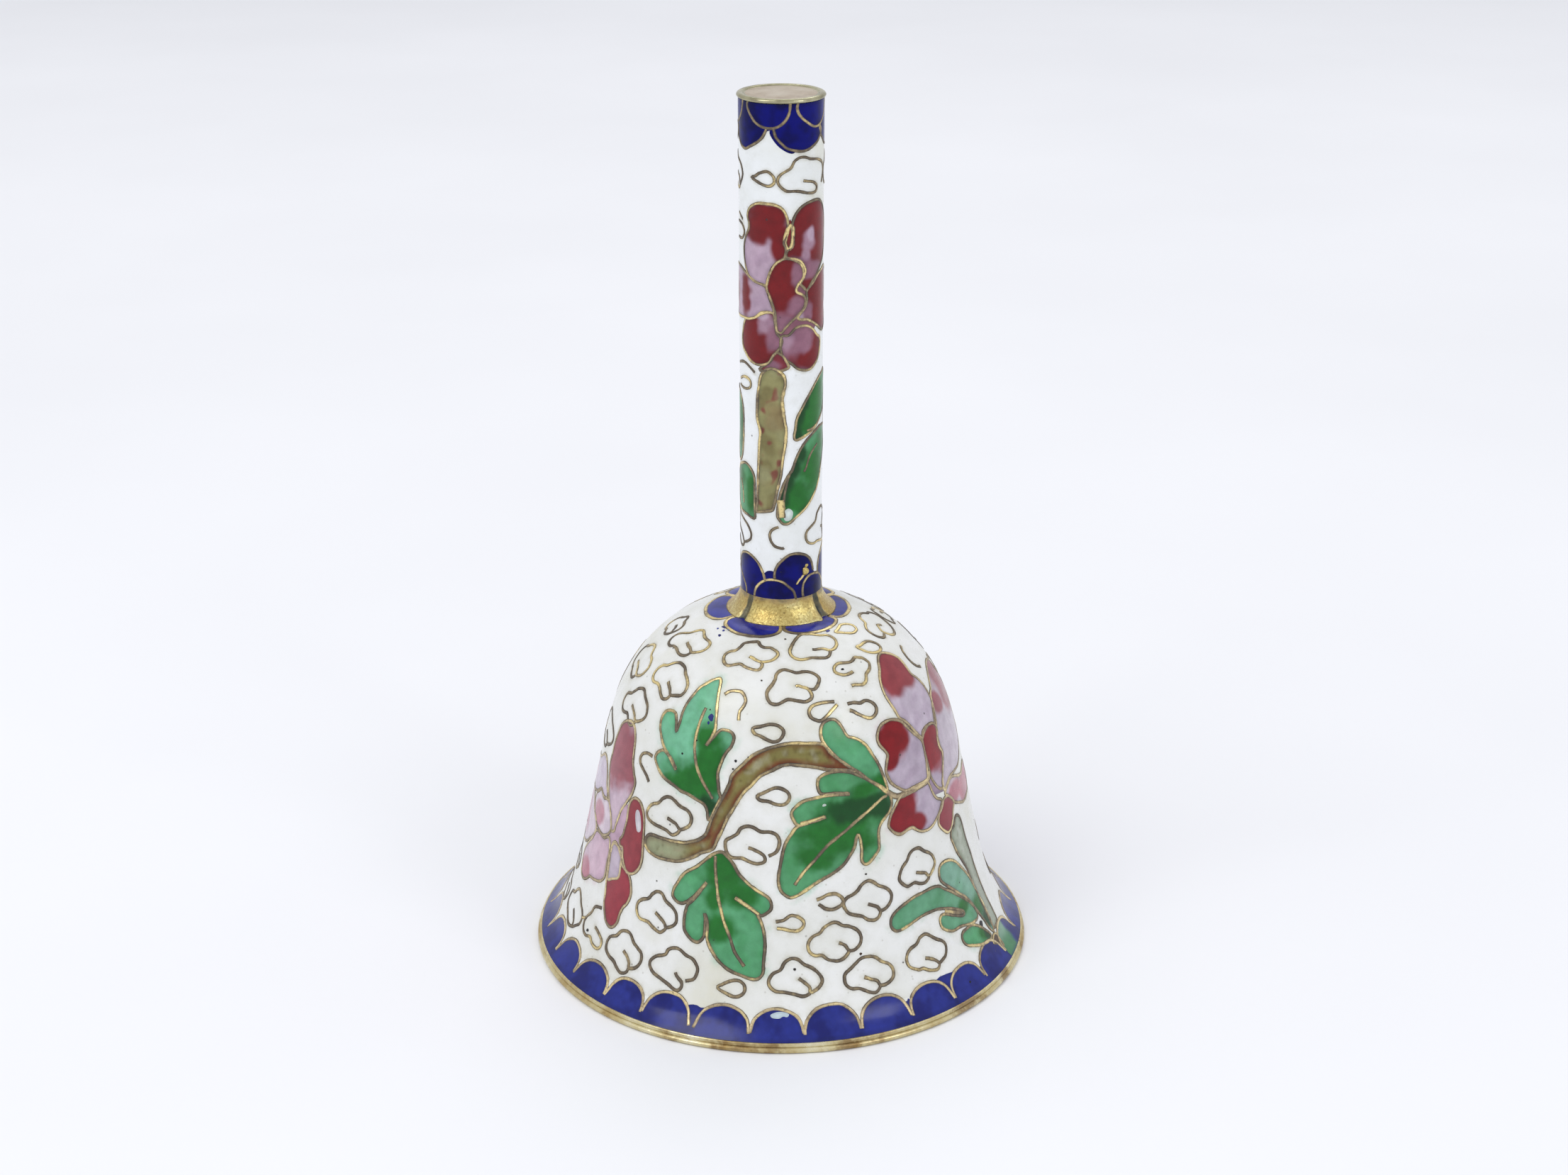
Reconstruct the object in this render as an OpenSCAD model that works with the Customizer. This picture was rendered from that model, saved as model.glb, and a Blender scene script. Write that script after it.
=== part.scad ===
// Small hand bell: a spun metal cup under enamel, on a long enamelled tube handle.
// The origin is the centre of the lip's resting plane. +Z runs up the handle's axis.
// Lengths are millimetres.

/* [Bell cup] */
// Outside diameter over the lip rim
lip_d = 64; // [58:0.5:72]
// Height of the cup, from the resting plane to the flat of the crown
cup_h = 45.4; // [42:0.2:50]
// Radius of the flat on top of the crown, under the collar
crown_flat_r = 7; // [6.8:0.1:8]
// Thickness of the enamel coat on the outside
coat_t = 0.5; // [0.3:0.05:0.6]
// Thickness of the spun metal wall
wall_t = 1; // [0.8:0.05:1.2]
// Thickness of the enamel coat on the inside
lining_t = 0.3; // [0.2:0.05:0.4]

/* [Lip] */
// Height of the bare metal rim under the enamel
rim_h = 1.25; // [1:0.05:1.6]
// Height at which the blue border gives way to the ground colour
border_top = 4.1; // [3.4:0.1:6]

/* [Crown] */
// Outside radius of the petal ring around the collar
rosette_r = 8.6; // [8.2:0.1:10]
// Radius of the collar where it is soldered to the crown
collar_foot_r = 6.6; // [6.2:0.1:6.7]
// Radius of the collar's flared skirt
collar_skirt_r = 7; // [6.8:0.1:7]
// Height of the collar above the crown
collar_h = 2.9; // [2.2:0.1:3.6]

/* [Handle] */
// Outside radius over the handle's enamel
handle_r = 5.05; // [4.8:0.05:5.4]
// Wall thickness of the handle tube
tube_t = 0.8; // [0.6:0.05:1]
// Height of the top of the handle tube
handle_top = 109.4; // [80:0.2:125]
// Height of the lower blue border above the collar
low_border_h = 4.6; // [3:0.1:8]
// Height of the upper blue border below the cap
high_border_h = 4; // [3:0.1:8]
// Thickness of the cap's disc
cap_t = 0.6; // [0.5:0.05:1.2]
// How far the cap's edge stands proud of the handle
cap_over = 0.22; // [0.05:0.01:0.4]

/* [Hanger] */
// Radius of the swivel shank that hangs in the crown bush
shank_r = 1.2; // [1:0.05:1.4]
// Radial running clearance of every pivot
pivot_gap = 0.06; // [0.03:0.01:0.1]
// Height of the clapper's pivot above the resting plane
pivot_z = 38.6; // [37.6:0.1:39]
// Radius of the cross pin that carries the clapper
pin_r = 0.8; // [0.6:0.05:0.9]

/* [Clapper] */
// Radius of the clapper ball
ball_r = 4.5; // [3:0.1:5.5]
// Height of the ball's centre above the resting plane
ball_z = 9.6; // [8.8:0.1:14]
// Radius of the clapper's rod
rod_r = 0.7; // [0.5:0.05:0.9]

/* [Hidden] */

lip_r = lip_d / 2;
tube_r = handle_r - coat_t;            // outside of the handle tube
bore_r = tube_r - tube_t;              // inside of the handle tube
shell_top = cup_h - coat_t;            // the crown's metal, which the tube and collar stand on
shell_under = shell_top - wall_t;
collar_top = cup_h + collar_h;
field_low = collar_top + low_border_h;
field_high = handle_top - high_border_h;
bush_r = 2.2;
bush_bore = shank_r + pivot_gap;
flange_t = 0.7;
bush_top = shell_top + 0.7;
washer_t = 0.5;
washer_z = bush_top + 0.1;
cheek_in = 1.2;                        // half the gap between the stirrup's cheeks
cheek_out = 2.1;
stirrup_w = 3.2;
bridge_top = shell_under - flange_t - 0.25;
bridge_t = 1.2;
eye_r = 1.9;
$fn = 96;

// Stations of the cup's outside, each as a share of the lip radius and of the cup's height.
// They run from the crown down the shoulder, the waist and the flare to the lip.
stations = [for (s = [[12.9, 43.2], [17.2, 39.7], [20.3, 35], [22.2, 29.4], [23.5, 23.3], [24.8, 17.2],
                      [26, 11.6], [27.6, 6.8], [29.5, 3.2], [31.5, 1.2], [32.8, 0]])
            [s[0] / 32 * lip_r, s[1] / 45.4 * cup_h]];

// A smooth curve through the stations, level where it leaves the crown's flat.
start = [crown_flat_r, cup_h];
knots = concat([[2 * crown_flat_r - stations[0][0], stations[0][1]], start], stations,
               [2 * stations[10] - stations[9]]);
steps = 5;
function spline(a, b, c, d, t) =
    0.5 * ((2 * b) + (c - a) * t + (2 * a - 5 * b + 4 * c - d) * t * t + (3 * b - a - 3 * c + d) * t * t * t);
outside = concat([[0, cup_h], start],
                 [for (k = [1 : len(knots) - 3], j = [1 : steps])
                     spline(knots[k - 1], knots[k], knots[k + 1], knots[k + 2], j / steps)]);

// The same curve moved inwards by t along its own normals.
function unit(v) = v / norm(v);
function normal_at(i) = i < 2 ? [0, 1]
    : let (j = min(i + 1, len(outside) - 1), d = unit(outside[j] - outside[i - 1])) [-d[1], d[0]];
function inset(t) = [for (i = [0 : len(outside) - 1]) outside[i] - t * normal_at(i)];

// Parts of a curve: beyond radius r, or above height z. Both ends are cut exactly there.
function beyond(p, r) = let (n = len([for (q = p) if (q[0] < r - 0.01) 1]), a = p[n - 1], b = p[n])
    concat([a + (b - a) * (r - a[0]) / (b[0] - a[0])], [for (i = [n : len(p) - 1]) if (p[i][0] > r + 0.01) p[i]]);
function above(p, z) = let (n = len([for (q = p) if (q[1] > z + 0.01) 1]), a = p[n - 1], b = p[n])
    concat([for (i = [0 : n - 1]) p[i]], [a + (b - a) * (z - a[1]) / (b[1] - a[1])]);
function below(p, z) = let (n = len([for (q = p) if (q[1] > z + 0.01) 1]), a = p[n - 1], b = p[n])
    concat([a + (b - a) * (z - a[1]) / (b[1] - a[1])], [for (i = [n : len(p) - 1]) if (p[i][1] < z - 0.01) p[i]]);
function within(p, r) = let (n = len([for (q = p) if (q[0] < r - 0.01) 1]), a = p[n - 1], b = p[n])
    concat([for (i = [0 : n - 1]) p[i]], [a + (b - a) * (r - a[0]) / (b[0] - a[0])]);
function back(p) = [for (i = [len(p) - 1 : -1 : 0]) p[i]];

// A layer of revolution between two curves.
module layer(outer, inner) {
    rotate_extrude($fn = 128) polygon(concat(outer, back(inner)));
}

// A ring of revolution between two radii.
module ring(r_out, r_in, z, h) {
    translate([0, 0, z]) difference() {
        cylinder(r = r_out, h = h);
        translate([0, 0, -1]) cylinder(r = r_in, h = h + 2);
    }
}

// Points of an arc in the section plane, for rounded edges of turned pieces.
function arc(c, r, a, b, n = 6) = [for (i = [0 : n]) c + r * [cos(a + (b - a) * i / n), sin(a + (b - a) * i / n)]];

// ---- the cup

module bell_shell() {
    color("peru")
    layer(above(beyond(inset(coat_t), bush_r), rim_h), above(beyond(inset(coat_t + wall_t), bush_r), rim_h));
}

module body_enamel() {
    color("ivory")
    layer(above(beyond(inset(0), rosette_r), border_top), above(beyond(inset(coat_t), rosette_r), border_top));
}

module lip_border_enamel() {
    color("mediumblue")
    layer(above(below(inset(0), border_top), rim_h), above(below(inset(coat_t), border_top), rim_h));
}

module crown_rosette_enamel() {
    color("royalblue")
    layer(within(beyond(inset(0), collar_foot_r), rosette_r), within(beyond(inset(coat_t), collar_foot_r), rosette_r));
}

module inner_enamel() {
    color("lightseagreen")
    layer(above(beyond(inset(coat_t + wall_t), 4.3), rim_h), above(beyond(inset(coat_t + wall_t + lining_t), 4.3), rim_h));
}

// The rim: a flat top against the layers' edges, a narrow band, a crease, and a rolled bead to stand on.
module lip_rim() {
    root_in = above(inset(coat_t + wall_t + lining_t), rim_h);
    r_in = root_in[len(root_in) - 1][0];
    color("darkkhaki")
    rotate_extrude($fn = 128) polygon(concat(
        [[r_in, rim_h], [lip_r - 1.9, 0.12], [lip_r - 1.7, 0]],
        arc([lip_r - 0.36, 0.36], 0.36, -90, 70, 8),
        [[lip_r - 0.36, 0.74], [lip_r - 0.3, 0.82]],
        arc([lip_r - 0.42, rim_h - 0.12], 0.12, 0, 90, 3)));
}

// ---- the crown

// A flanged bush that is pressed up through the crown, and turns the swivel's weight onto the cup.
module crown_bush() {
    color("gold")
    difference() {
        union() {
            translate([0, 0, shell_under - flange_t]) cylinder(r = 4, h = flange_t);
            translate([0, 0, shell_under - 0.01]) cylinder(r = bush_r, h = bush_top - shell_under + 0.01);
        }
        translate([0, 0, shell_under - flange_t - 1]) cylinder(r = bush_bore, h = 6);
    }
}

// A concave ferrule, soldered to the crown and round the foot of the tube.
module handle_collar() {
    sweep_r = collar_h - 0.45;
    color("goldenrod")
    rotate_extrude($fn = 128) polygon(concat(
        [[tube_r, shell_top], [collar_foot_r, shell_top], [collar_foot_r, cup_h], [collar_skirt_r, cup_h],
         [collar_skirt_r, cup_h + 0.25]],
        [for (i = [1 : 9]) [handle_r + 0.12 + (collar_skirt_r - handle_r - 0.12) * (1 - sin(i * 10)),
                            cup_h + 0.25 + sweep_r * (1 - cos(i * 10))]],
        [[handle_r + 0.12, collar_top - 0.08], [handle_r + 0.04, collar_top], [tube_r, collar_top]]));
}

// ---- the handle

module handle_tube() {
    color("peru") ring(tube_r, bore_r, shell_top, handle_top - shell_top);
}

module handle_enamel() {
    color("ivory") ring(handle_r, tube_r, field_low, field_high - field_low);
}

module handle_lower_border_enamel() {
    color("mediumblue") ring(handle_r, tube_r, collar_top, low_border_h);
}

module handle_upper_border_enamel() {
    color("mediumblue") ring(handle_r, tube_r, field_high, high_border_h);
}

// A disc with an eased edge a little proud of the handle, and a spigot that plugs the tube.
module handle_cap() {
    cap_r = handle_r + cap_over;
    color("tan")
    rotate_extrude($fn = 128) polygon(concat(
        [[0, handle_top - 2.4], [bore_r - 0.25, handle_top - 2.4], [bore_r - 0.05, handle_top - 2.1],
         [bore_r - 0.05, handle_top], [cap_r - 0.12, handle_top], [cap_r, handle_top + 0.14]],
        arc([cap_r - 0.26, handle_top + cap_t - 0.26], 0.26, 0, 90, 5),
        [[0, handle_top + cap_t]]));
}

// ---- the swivel and the clapper

// A swivel: peened head, shank and a two-cheeked stirrup below the crown.
module swivel_stirrup() {
    head_z = washer_z + washer_t;
    color("silver")
    difference() {
        union() {
            translate([0, 0, bridge_top - 0.1]) cylinder(r = shank_r, h = head_z - bridge_top + 0.1);
            rotate_extrude($fn = 96) polygon(concat([[0, head_z], [1.9, head_z], [1.9, head_z + 0.25]],
                arc([1.4, head_z + 0.25], 0.5, 0, 90, 4), [[0, head_z + 0.75]]));
            translate([-cheek_out, -stirrup_w / 2, bridge_top - bridge_t]) cube([2 * cheek_out, stirrup_w, bridge_t]);
            for (s = [-1, 1]) {
                x0 = s < 0 ? -cheek_out : cheek_in;
                translate([x0, -stirrup_w / 2, pivot_z]) cube([cheek_out - cheek_in, stirrup_w, bridge_top - pivot_z]);
                translate([x0, 0, pivot_z]) rotate([0, 90, 0]) cylinder(r = stirrup_w / 2, h = cheek_out - cheek_in);
            }
        }
        translate([-5, 0, pivot_z]) rotate([0, 90, 0]) cylinder(r = pin_r, h = 10);
    }
}

module swivel_washer() {
    color("gold") ring(2.9, shank_r, washer_z, washer_t);
}

// A rivet pin across the stirrup, with a head at each end.
module clapper_pin() {
    color("silver")
    translate([0, 0, pivot_z]) rotate([0, 90, 0]) {
        translate([0, 0, -cheek_out]) cylinder(r = pin_r, h = 2 * cheek_out);
        for (s = [0, 1]) mirror([0, 0, s]) translate([0, 0, cheek_out]) cylinder(r = 1.25, h = 0.45);
    }
}

// The rod: an eye that rides on the pin, a straight stem, and a peened tip under the ball.
module clapper_rod() {
    tip_z = ball_z - ball_r - 0.35;
    color("silver")
    difference() {
        union() {
            translate([-cheek_in + 0.2, 0, pivot_z]) rotate([0, 90, 0]) cylinder(r = eye_r, h = 2 * (cheek_in - 0.2));
            translate([0, 0, tip_z]) cylinder(r = rod_r, h = pivot_z - tip_z);
            translate([0, 0, tip_z]) cylinder(r = 1.3, h = 0.45);
        }
        translate([-5, 0, pivot_z]) rotate([0, 90, 0]) cylinder(r = pin_r + pivot_gap, h = 10);
    }
}

module clapper_ball() {
    color("goldenrod")
    difference() {
        translate([0, 0, ball_z]) sphere(r = ball_r, $fn = 96);
        translate([0, 0, ball_z - ball_r - 1]) cylinder(r = rod_r, h = 2 * ball_r + 2);
        translate([0, 0, ball_z - ball_r - 1]) cylinder(r = 1.3, h = 1.1);
    }
}

bell_shell();
body_enamel();
lip_border_enamel();
crown_rosette_enamel();
inner_enamel();
lip_rim();
crown_bush();
handle_collar();
handle_tube();
handle_enamel();
handle_lower_border_enamel();
handle_upper_border_enamel();
handle_cap();
swivel_stirrup();
swivel_washer();
clapper_pin();
clapper_rod();
clapper_ball();
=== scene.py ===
import bpy
import math
import random
import numpy as np
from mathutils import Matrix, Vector, kdtree, noise
from mathutils.geometry import delaunay_2d_cdt


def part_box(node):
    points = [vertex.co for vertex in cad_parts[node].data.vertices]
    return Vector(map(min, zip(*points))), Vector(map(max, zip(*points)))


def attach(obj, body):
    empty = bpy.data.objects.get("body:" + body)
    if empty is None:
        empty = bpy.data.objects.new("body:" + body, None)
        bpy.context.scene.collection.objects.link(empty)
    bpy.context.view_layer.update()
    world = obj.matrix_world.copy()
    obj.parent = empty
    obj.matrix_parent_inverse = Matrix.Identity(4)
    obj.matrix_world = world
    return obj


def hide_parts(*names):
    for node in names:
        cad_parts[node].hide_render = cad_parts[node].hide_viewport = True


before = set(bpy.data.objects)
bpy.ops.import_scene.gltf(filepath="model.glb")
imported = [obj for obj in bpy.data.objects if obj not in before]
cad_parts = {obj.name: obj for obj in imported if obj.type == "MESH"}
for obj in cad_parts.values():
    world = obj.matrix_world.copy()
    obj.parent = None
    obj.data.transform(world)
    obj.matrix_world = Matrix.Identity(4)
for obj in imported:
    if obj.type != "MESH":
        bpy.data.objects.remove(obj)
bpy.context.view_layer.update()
MM = 0.001
rng = random.Random(41)

# ---------------------------------------------------------------- surfaces
# The bell's outside runs from the flat crown to the lip; s is the length along it in mm.
STATIONS = [(7.0, 45.4), (12.9, 43.2), (17.2, 39.7), (20.3, 35.0), (22.2, 29.4), (23.5, 23.3),
            (24.8, 17.2), (26.0, 11.6), (27.6, 6.8), (29.5, 3.2), (31.5, 1.2), (32.8, 0.0)]


def build_profile():
    p = [(2 * 7.0 - 12.9, 43.2)] + STATIONS + [(2 * 32.8 - 31.5, -1.2)]
    out = [(0.0, 45.4), (3.5, 45.4)]
    n = 16
    for i in range(1, len(p) - 2):
        a, b, c, d = p[i - 1], p[i], p[i + 1], p[i + 2]
        for j in range(n + (1 if i == len(p) - 3 else 0)):
            t = j / n
            out.append(tuple(0.5 * (2 * b[k] + (c[k] - a[k]) * t + (2 * a[k] - 5 * b[k] + 4 * c[k] - d[k]) * t * t
                                    + (3 * b[k] - a[k] - 3 * c[k] + d[k]) * t ** 3) for k in range(2)))
    s = [0.0]
    for i in range(1, len(out)):
        s.append(s[-1] + math.dist(out[i - 1], out[i]))
    nrm = []
    for i in range(len(out)):
        a, b = out[max(0, i - 1)], out[min(len(out) - 1, i + 1)]
        dr, dz = b[0] - a[0], b[1] - a[1]
        l = math.hypot(dr, dz) or 1.0
        nrm.append((-dz / l, dr / l))
    return out, s, nrm


PROF, ARC, NRM = build_profile()


def at(s):
    s = min(max(s, 0.0), ARC[-1])
    lo, hi = 0, len(ARC) - 1
    while hi - lo > 1:
        m = (lo + hi) // 2
        if ARC[m] <= s:
            lo = m
        else:
            hi = m
    t = (s - ARC[lo]) / (ARC[hi] - ARC[lo])
    r = PROF[lo][0] + t * (PROF[hi][0] - PROF[lo][0])
    z = PROF[lo][1] + t * (PROF[hi][1] - PROF[lo][1])
    nr = NRM[lo][0] + t * (NRM[hi][0] - NRM[lo][0])
    nz = NRM[lo][1] + t * (NRM[hi][1] - NRM[lo][1])
    return r, z, nr, nz


# theta is in degrees, 0 at the front (-Y) and growing towards +X
class Bell:
    @staticmethod
    def point(th, s, h=0.0):
        r, z, nr, nz = at(s)
        a = math.radians(th)
        return Vector(((r + nr * h) * math.sin(a), -(r + nr * h) * math.cos(a), z + nz * h))

    @staticmethod
    def normal(th, s):
        r, z, nr, nz = at(s)
        a = math.radians(th)
        return Vector((nr * math.sin(a), -nr * math.cos(a), nz))

    @staticmethod
    def radius(s):
        return max(at(s)[0], 2.0)


HANDLE_R = 5.05


class Handle:
    @staticmethod
    def point(th, z, h=0.0):
        a = math.radians(th)
        return Vector(((HANDLE_R + h) * math.sin(a), -(HANDLE_R + h) * math.cos(a), z))

    @staticmethod
    def normal(th, z):
        a = math.radians(th)
        return Vector((math.sin(a), -math.cos(a), 0.0))

    @staticmethod
    def radius(z):
        return HANDLE_R


def s_at_z(z):
    lo, hi = 8.0, ARC[-1]
    for _ in range(50):
        m = (lo + hi) / 2
        if at(m)[1] > z:
            lo = m
        else:
            hi = m
    return lo


RIM_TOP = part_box("lip_rim")[1].z / MM
S_LIP = s_at_z(RIM_TOP)

# ---------------------------------------------------------------- mesh helpers


class Buf:
    """Vertices in mm, faces, a colour for each vertex, and the edges that stay sharp."""

    def __init__(self):
        self.v, self.f, self.c, self.sharp = [], [], [], set()

    def make(self, name, mat, body, smooth=True):
        me = bpy.data.meshes.new(name)
        me.from_pydata([tuple(p * MM) for p in self.v], [], self.f)
        me.update()
        col = me.color_attributes.new("Col", "FLOAT_COLOR", "POINT")
        flat = []
        for c in self.c:
            flat.extend((c[0], c[1], c[2], 1.0))
        col.data.foreach_set("color", flat)
        me.polygons.foreach_set("use_smooth", [smooth] * len(me.polygons))
        if self.sharp:
            me.edges.foreach_set("use_edge_sharp", [tuple(sorted(e.vertices)) in self.sharp for e in me.edges])
        me.materials.append(mat)
        ob = bpy.data.objects.new(name, me)
        bpy.context.scene.collection.objects.link(ob)
        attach(ob, body)
        return ob


def catmull(pts, closed, step, surf):
    """Control points (theta, s) to evenly spaced points along a smooth curve, step in mm."""
    n = len(pts)
    dense = []
    last = n if closed else n - 1
    for i in range(last):
        a = pts[(i - 1) % n] if closed or i > 0 else pts[0]
        b = pts[i]
        c = pts[(i + 1) % n]
        d = pts[(i + 2) % n] if closed or i + 2 < n else pts[-1]
        for j in range(8):
            t = j / 8
            dense.append(tuple(0.5 * (2 * b[k] + (c[k] - a[k]) * t + (2 * a[k] - 5 * b[k] + 4 * c[k] - d[k]) * t * t
                                      + (3 * b[k] - a[k] - 3 * c[k] + d[k]) * t ** 3) for k in range(2)))
    dense.append(pts[0] if closed else pts[-1])

    def gap(p, q):
        r = surf.radius((p[1] + q[1]) / 2)
        return math.hypot(math.radians(q[0] - p[0]) * r, q[1] - p[1])

    run = [0.0]
    for i in range(1, len(dense)):
        run.append(run[-1] + gap(dense[i - 1], dense[i]))
    total = run[-1]
    count = max(3, int(round(total / step)))
    out = []
    k = 0
    for i in range(count if closed else count + 1):
        want = total * i / count
        while k < len(run) - 2 and run[k + 1] < want:
            k += 1
        t = (want - run[k]) / max(1e-9, run[k + 1] - run[k])
        out.append((dense[k][0] + t * (dense[k + 1][0] - dense[k][0]), dense[k][1] + t * (dense[k + 1][1] - dense[k][1])))
    return out


WIRE_AT = {"Bell": [], "Handle": []}
EDGE_AT = {"green": [], "pink": []}


def wire(buf, path, surf, w=0.43, closed=False, top=0.05, gold_and_glint=0.35, wobble=0.035, step=0.2):
    """A flat cloisonne wire set on edge in the enamel and ground level with it."""
    p2 = catmull(path, closed, step, surf)
    n = len(p2)
    if n < 3:
        return
    seed = rng.random() * 90
    q = []
    for i, (th, s) in enumerate(p2):
        e = min(1.0, min(i, n - i) / 6) if closed else 1.0
        a = noise.noise(Vector((i * step * 0.55, seed, 0.0))) * wobble * e
        b = noise.noise(Vector((i * step * 0.55, seed, 7.3))) * wobble * e
        q.append((th + math.degrees(a * 2 / surf.radius(s)), s + b * 2))
    p3 = [surf.point(*p) for p in q]
    WIRE_AT[surf.__name__].extend(p3)
    base = len(buf.v)
    m = 9
    for i in range(n):
        nm = surf.normal(*q[i])
        pa = p3[(i - 1) % n] if closed or i > 0 else p3[0]
        pb = p3[(i + 1) % n] if closed or i < n - 1 else p3[-1]
        tg = pb - pa
        if tg.length < 1e-6:
            tg = Vector((0, 0, 1))
        side = nm.cross(tg).normalized()
        d = i * step
        ww = w * (1 + 0.16 * noise.noise(Vector((d * 0.8, seed, 3.1)))) / 2
        hh = top * (1 + 0.35 * noise.noise(Vector((d * 0.7, seed, 5.7))))
        jl = 1 + 0.16 * noise.noise(Vector((d * 2.6, seed, 13.1)))
        jr = 1 + 0.16 * noise.noise(Vector((d * 2.6, seed, 17.9)))
        # gold patches along the wire, partly real gold and partly painted glint; near the collar they are made brighter
        # and stronger as painted highlight
        g = gold_and_glint + (0.34 * soft(25, 17, q[i][1]) if surf is Bell else 0.0) + (1.0 if surf is Handle else 0.95 + 0.5 * soft(25, 17, q[i][1])) * noise.noise(Vector((d * 0.28, seed, 9.4)))
        g = min(max(g, 0.0), 1.0)
        # how much darker the wire's sides get, varying along it
        wire_edge_dark = min(max(0.55 + 0.9 * noise.noise(Vector((d * 0.9, seed, 21.4))), 0.0), 1.0)
        for x, h, k in ((-1, -0.2, 1), (-1, 0.012, 1), (-0.76, hh * 0.62, 0.9), (-0.46, hh * 0.93, 0.3), (0.0, hh, 0.0),
                        (0.46, hh * 0.93, 0.3), (0.76, hh * 0.62, 0.9), (1, 0.012, 1), (1, -0.2, 1)):
            j = jl if x < 0 else jr
            buf.v.append(p3[i] + side * (x * ww * j) + nm * h)
            buf.c.append((g, k, wire_edge_dark))
    for i in range(n if closed else n - 1):
        a = base + i * m
        b = base + ((i + 1) % n) * m
        for j in range(m):
            k = (j + 1) % m
            buf.f.append((a + j, b + j, b + k, a + k))
    if not closed:
        buf.f.append(tuple(base + j for j in range(m)))
        buf.f.append(tuple(base + (n - 1) * m + j for j in reversed(range(m))))


LIFT = [0.0]


def cell(buf, outline, surf, colour, smooth=True, grid=0.34, lift=0.012, depth=0.22, bleed=None):
    """One cell of fired enamel: a thin closed solid whose top follows the surface."""
    pts = catmull(outline, True, grid, surf) if smooth else list(outline)
    if bleed and surf is Bell:
        EDGE_AT[bleed].extend(surf.point(*p) for p in pts)
    ref = surf.radius(sum(p[1] for p in pts) / len(pts))
    k = math.radians(1.0) * ref
    poly = [(p[0] * k, p[1]) for p in pts]
    x0, x1 = min(p[0] for p in poly), max(p[0] for p in poly)
    y0, y1 = min(p[1] for p in poly), max(p[1] for p in poly)
    n = len(poly)

    pa = np.array(poly)
    pb = np.roll(pa, -1, 0)

    def inside(x, y):
        up = (pa[:, 1] <= y) & (pb[:, 1] > y)
        dn = (pa[:, 1] > y) & (pb[:, 1] <= y)
        left = (pb[:, 0] - pa[:, 0]) * (y - pa[:, 1]) - (x - pa[:, 0]) * (pb[:, 1] - pa[:, 1])
        return int((up & (left > 0)).sum() - (dn & (left < 0)).sum()) != 0

    verts = [Vector(p) for p in poly]
    iy = int((y1 - y0) / grid)
    ix = int((x1 - x0) / grid)
    edge_pts = poly[::1]
    lim = (grid * 0.45) ** 2
    buckets = {}
    for p in edge_pts:
        buckets.setdefault((int(p[0] // grid), int(p[1] // grid)), []).append(p)
    for j in range(1, iy + 1):
        y = y0 + j * (y1 - y0) / (iy + 1)
        for i in range(0, ix + 1):
            x = x0 + (i + 0.5 * (j % 2)) * grid
            if not (x0 < x < x1) or not inside(x, y):
                continue
            bx, by = int(x // grid), int(y // grid)
            near = False
            for ax in (-1, 0, 1):
                for ay in (-1, 0, 1):
                    for p in buckets.get((bx + ax, by + ay), ()):
                        if (p[0] - x) ** 2 + (p[1] - y) ** 2 < lim:
                            near = True
            if not near:
                verts.append(Vector((x, y)))
    edges = [(i, (i + 1) % n) for i in range(n)]
    vo, eo, fo, _, _, _ = delaunay_2d_cdt(verts, edges, [], 1, 1e-5, False)
    LIFT[0] = (LIFT[0] + 0.0013) % 0.0091
    h = lift + LIFT[0]
    base = len(buf.v)
    fo = [f for f in fo if inside(sum(vo[i][0] for i in f) / len(f), sum(vo[i][1] for i in f) / len(f))]
    used = set()
    for f in fo:
        used.update(f)
    idx = {}
    for i in sorted(used):
        idx[i] = base + len(idx)
    m = len(idx)
    cols = []
    for i in idx:
        th, s = vo[i][0] / k, vo[i][1]
        buf.v.append(surf.point(th, s, h))
        away = float(np.sqrt(((pa - (vo[i][0], vo[i][1])) ** 2).sum(1).min()))
        c = colour(th, s, away)
        dim = 0.74 + 0.26 * soft(0.15, 0.62, away + 0.12 * nz(th, s, 1.7, 3.3, surf))
        c = (c[0] * dim, c[1] * dim, c[2] * dim)
        cols.append(c)
        buf.c.append(c)
    for i in idx:
        th, s = vo[i][0] / k, vo[i][1]
        buf.v.append(surf.point(th, s, -depth))
    buf.c.extend(cols)
    count = {}
    faces = []
    for f in fo:
        a, b, c = [vo[i] for i in f[:3]]
        if len(f) == 3 and (b - a).cross(c - a) < 0:
            f = list(reversed(f))
        faces.append(f)
        for i in range(len(f)):
            e = (f[i], f[(i + 1) % len(f)])
            count[tuple(sorted(e))] = count.get(tuple(sorted(e)), 0) + 1
    for f in faces:
        t = [idx[i] for i in f]
        # s grows downwards on the bell, so its winding turns over
        top = list(reversed(t)) if surf is Bell else t
        buf.f.append(tuple(top))
        buf.f.append(tuple(i + m for i in reversed(top)))
        tt = f if surf is not Bell else list(reversed(f))
        for i in range(len(tt)):
            a, b = tt[i], tt[(i + 1) % len(tt)]
            if count[tuple(sorted((a, b)))] == 1:
                buf.f.append((idx[b], idx[a], idx[a] + m, idx[b] + m))
                buf.sharp.add(tuple(sorted((idx[a], idx[b]))))


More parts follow.
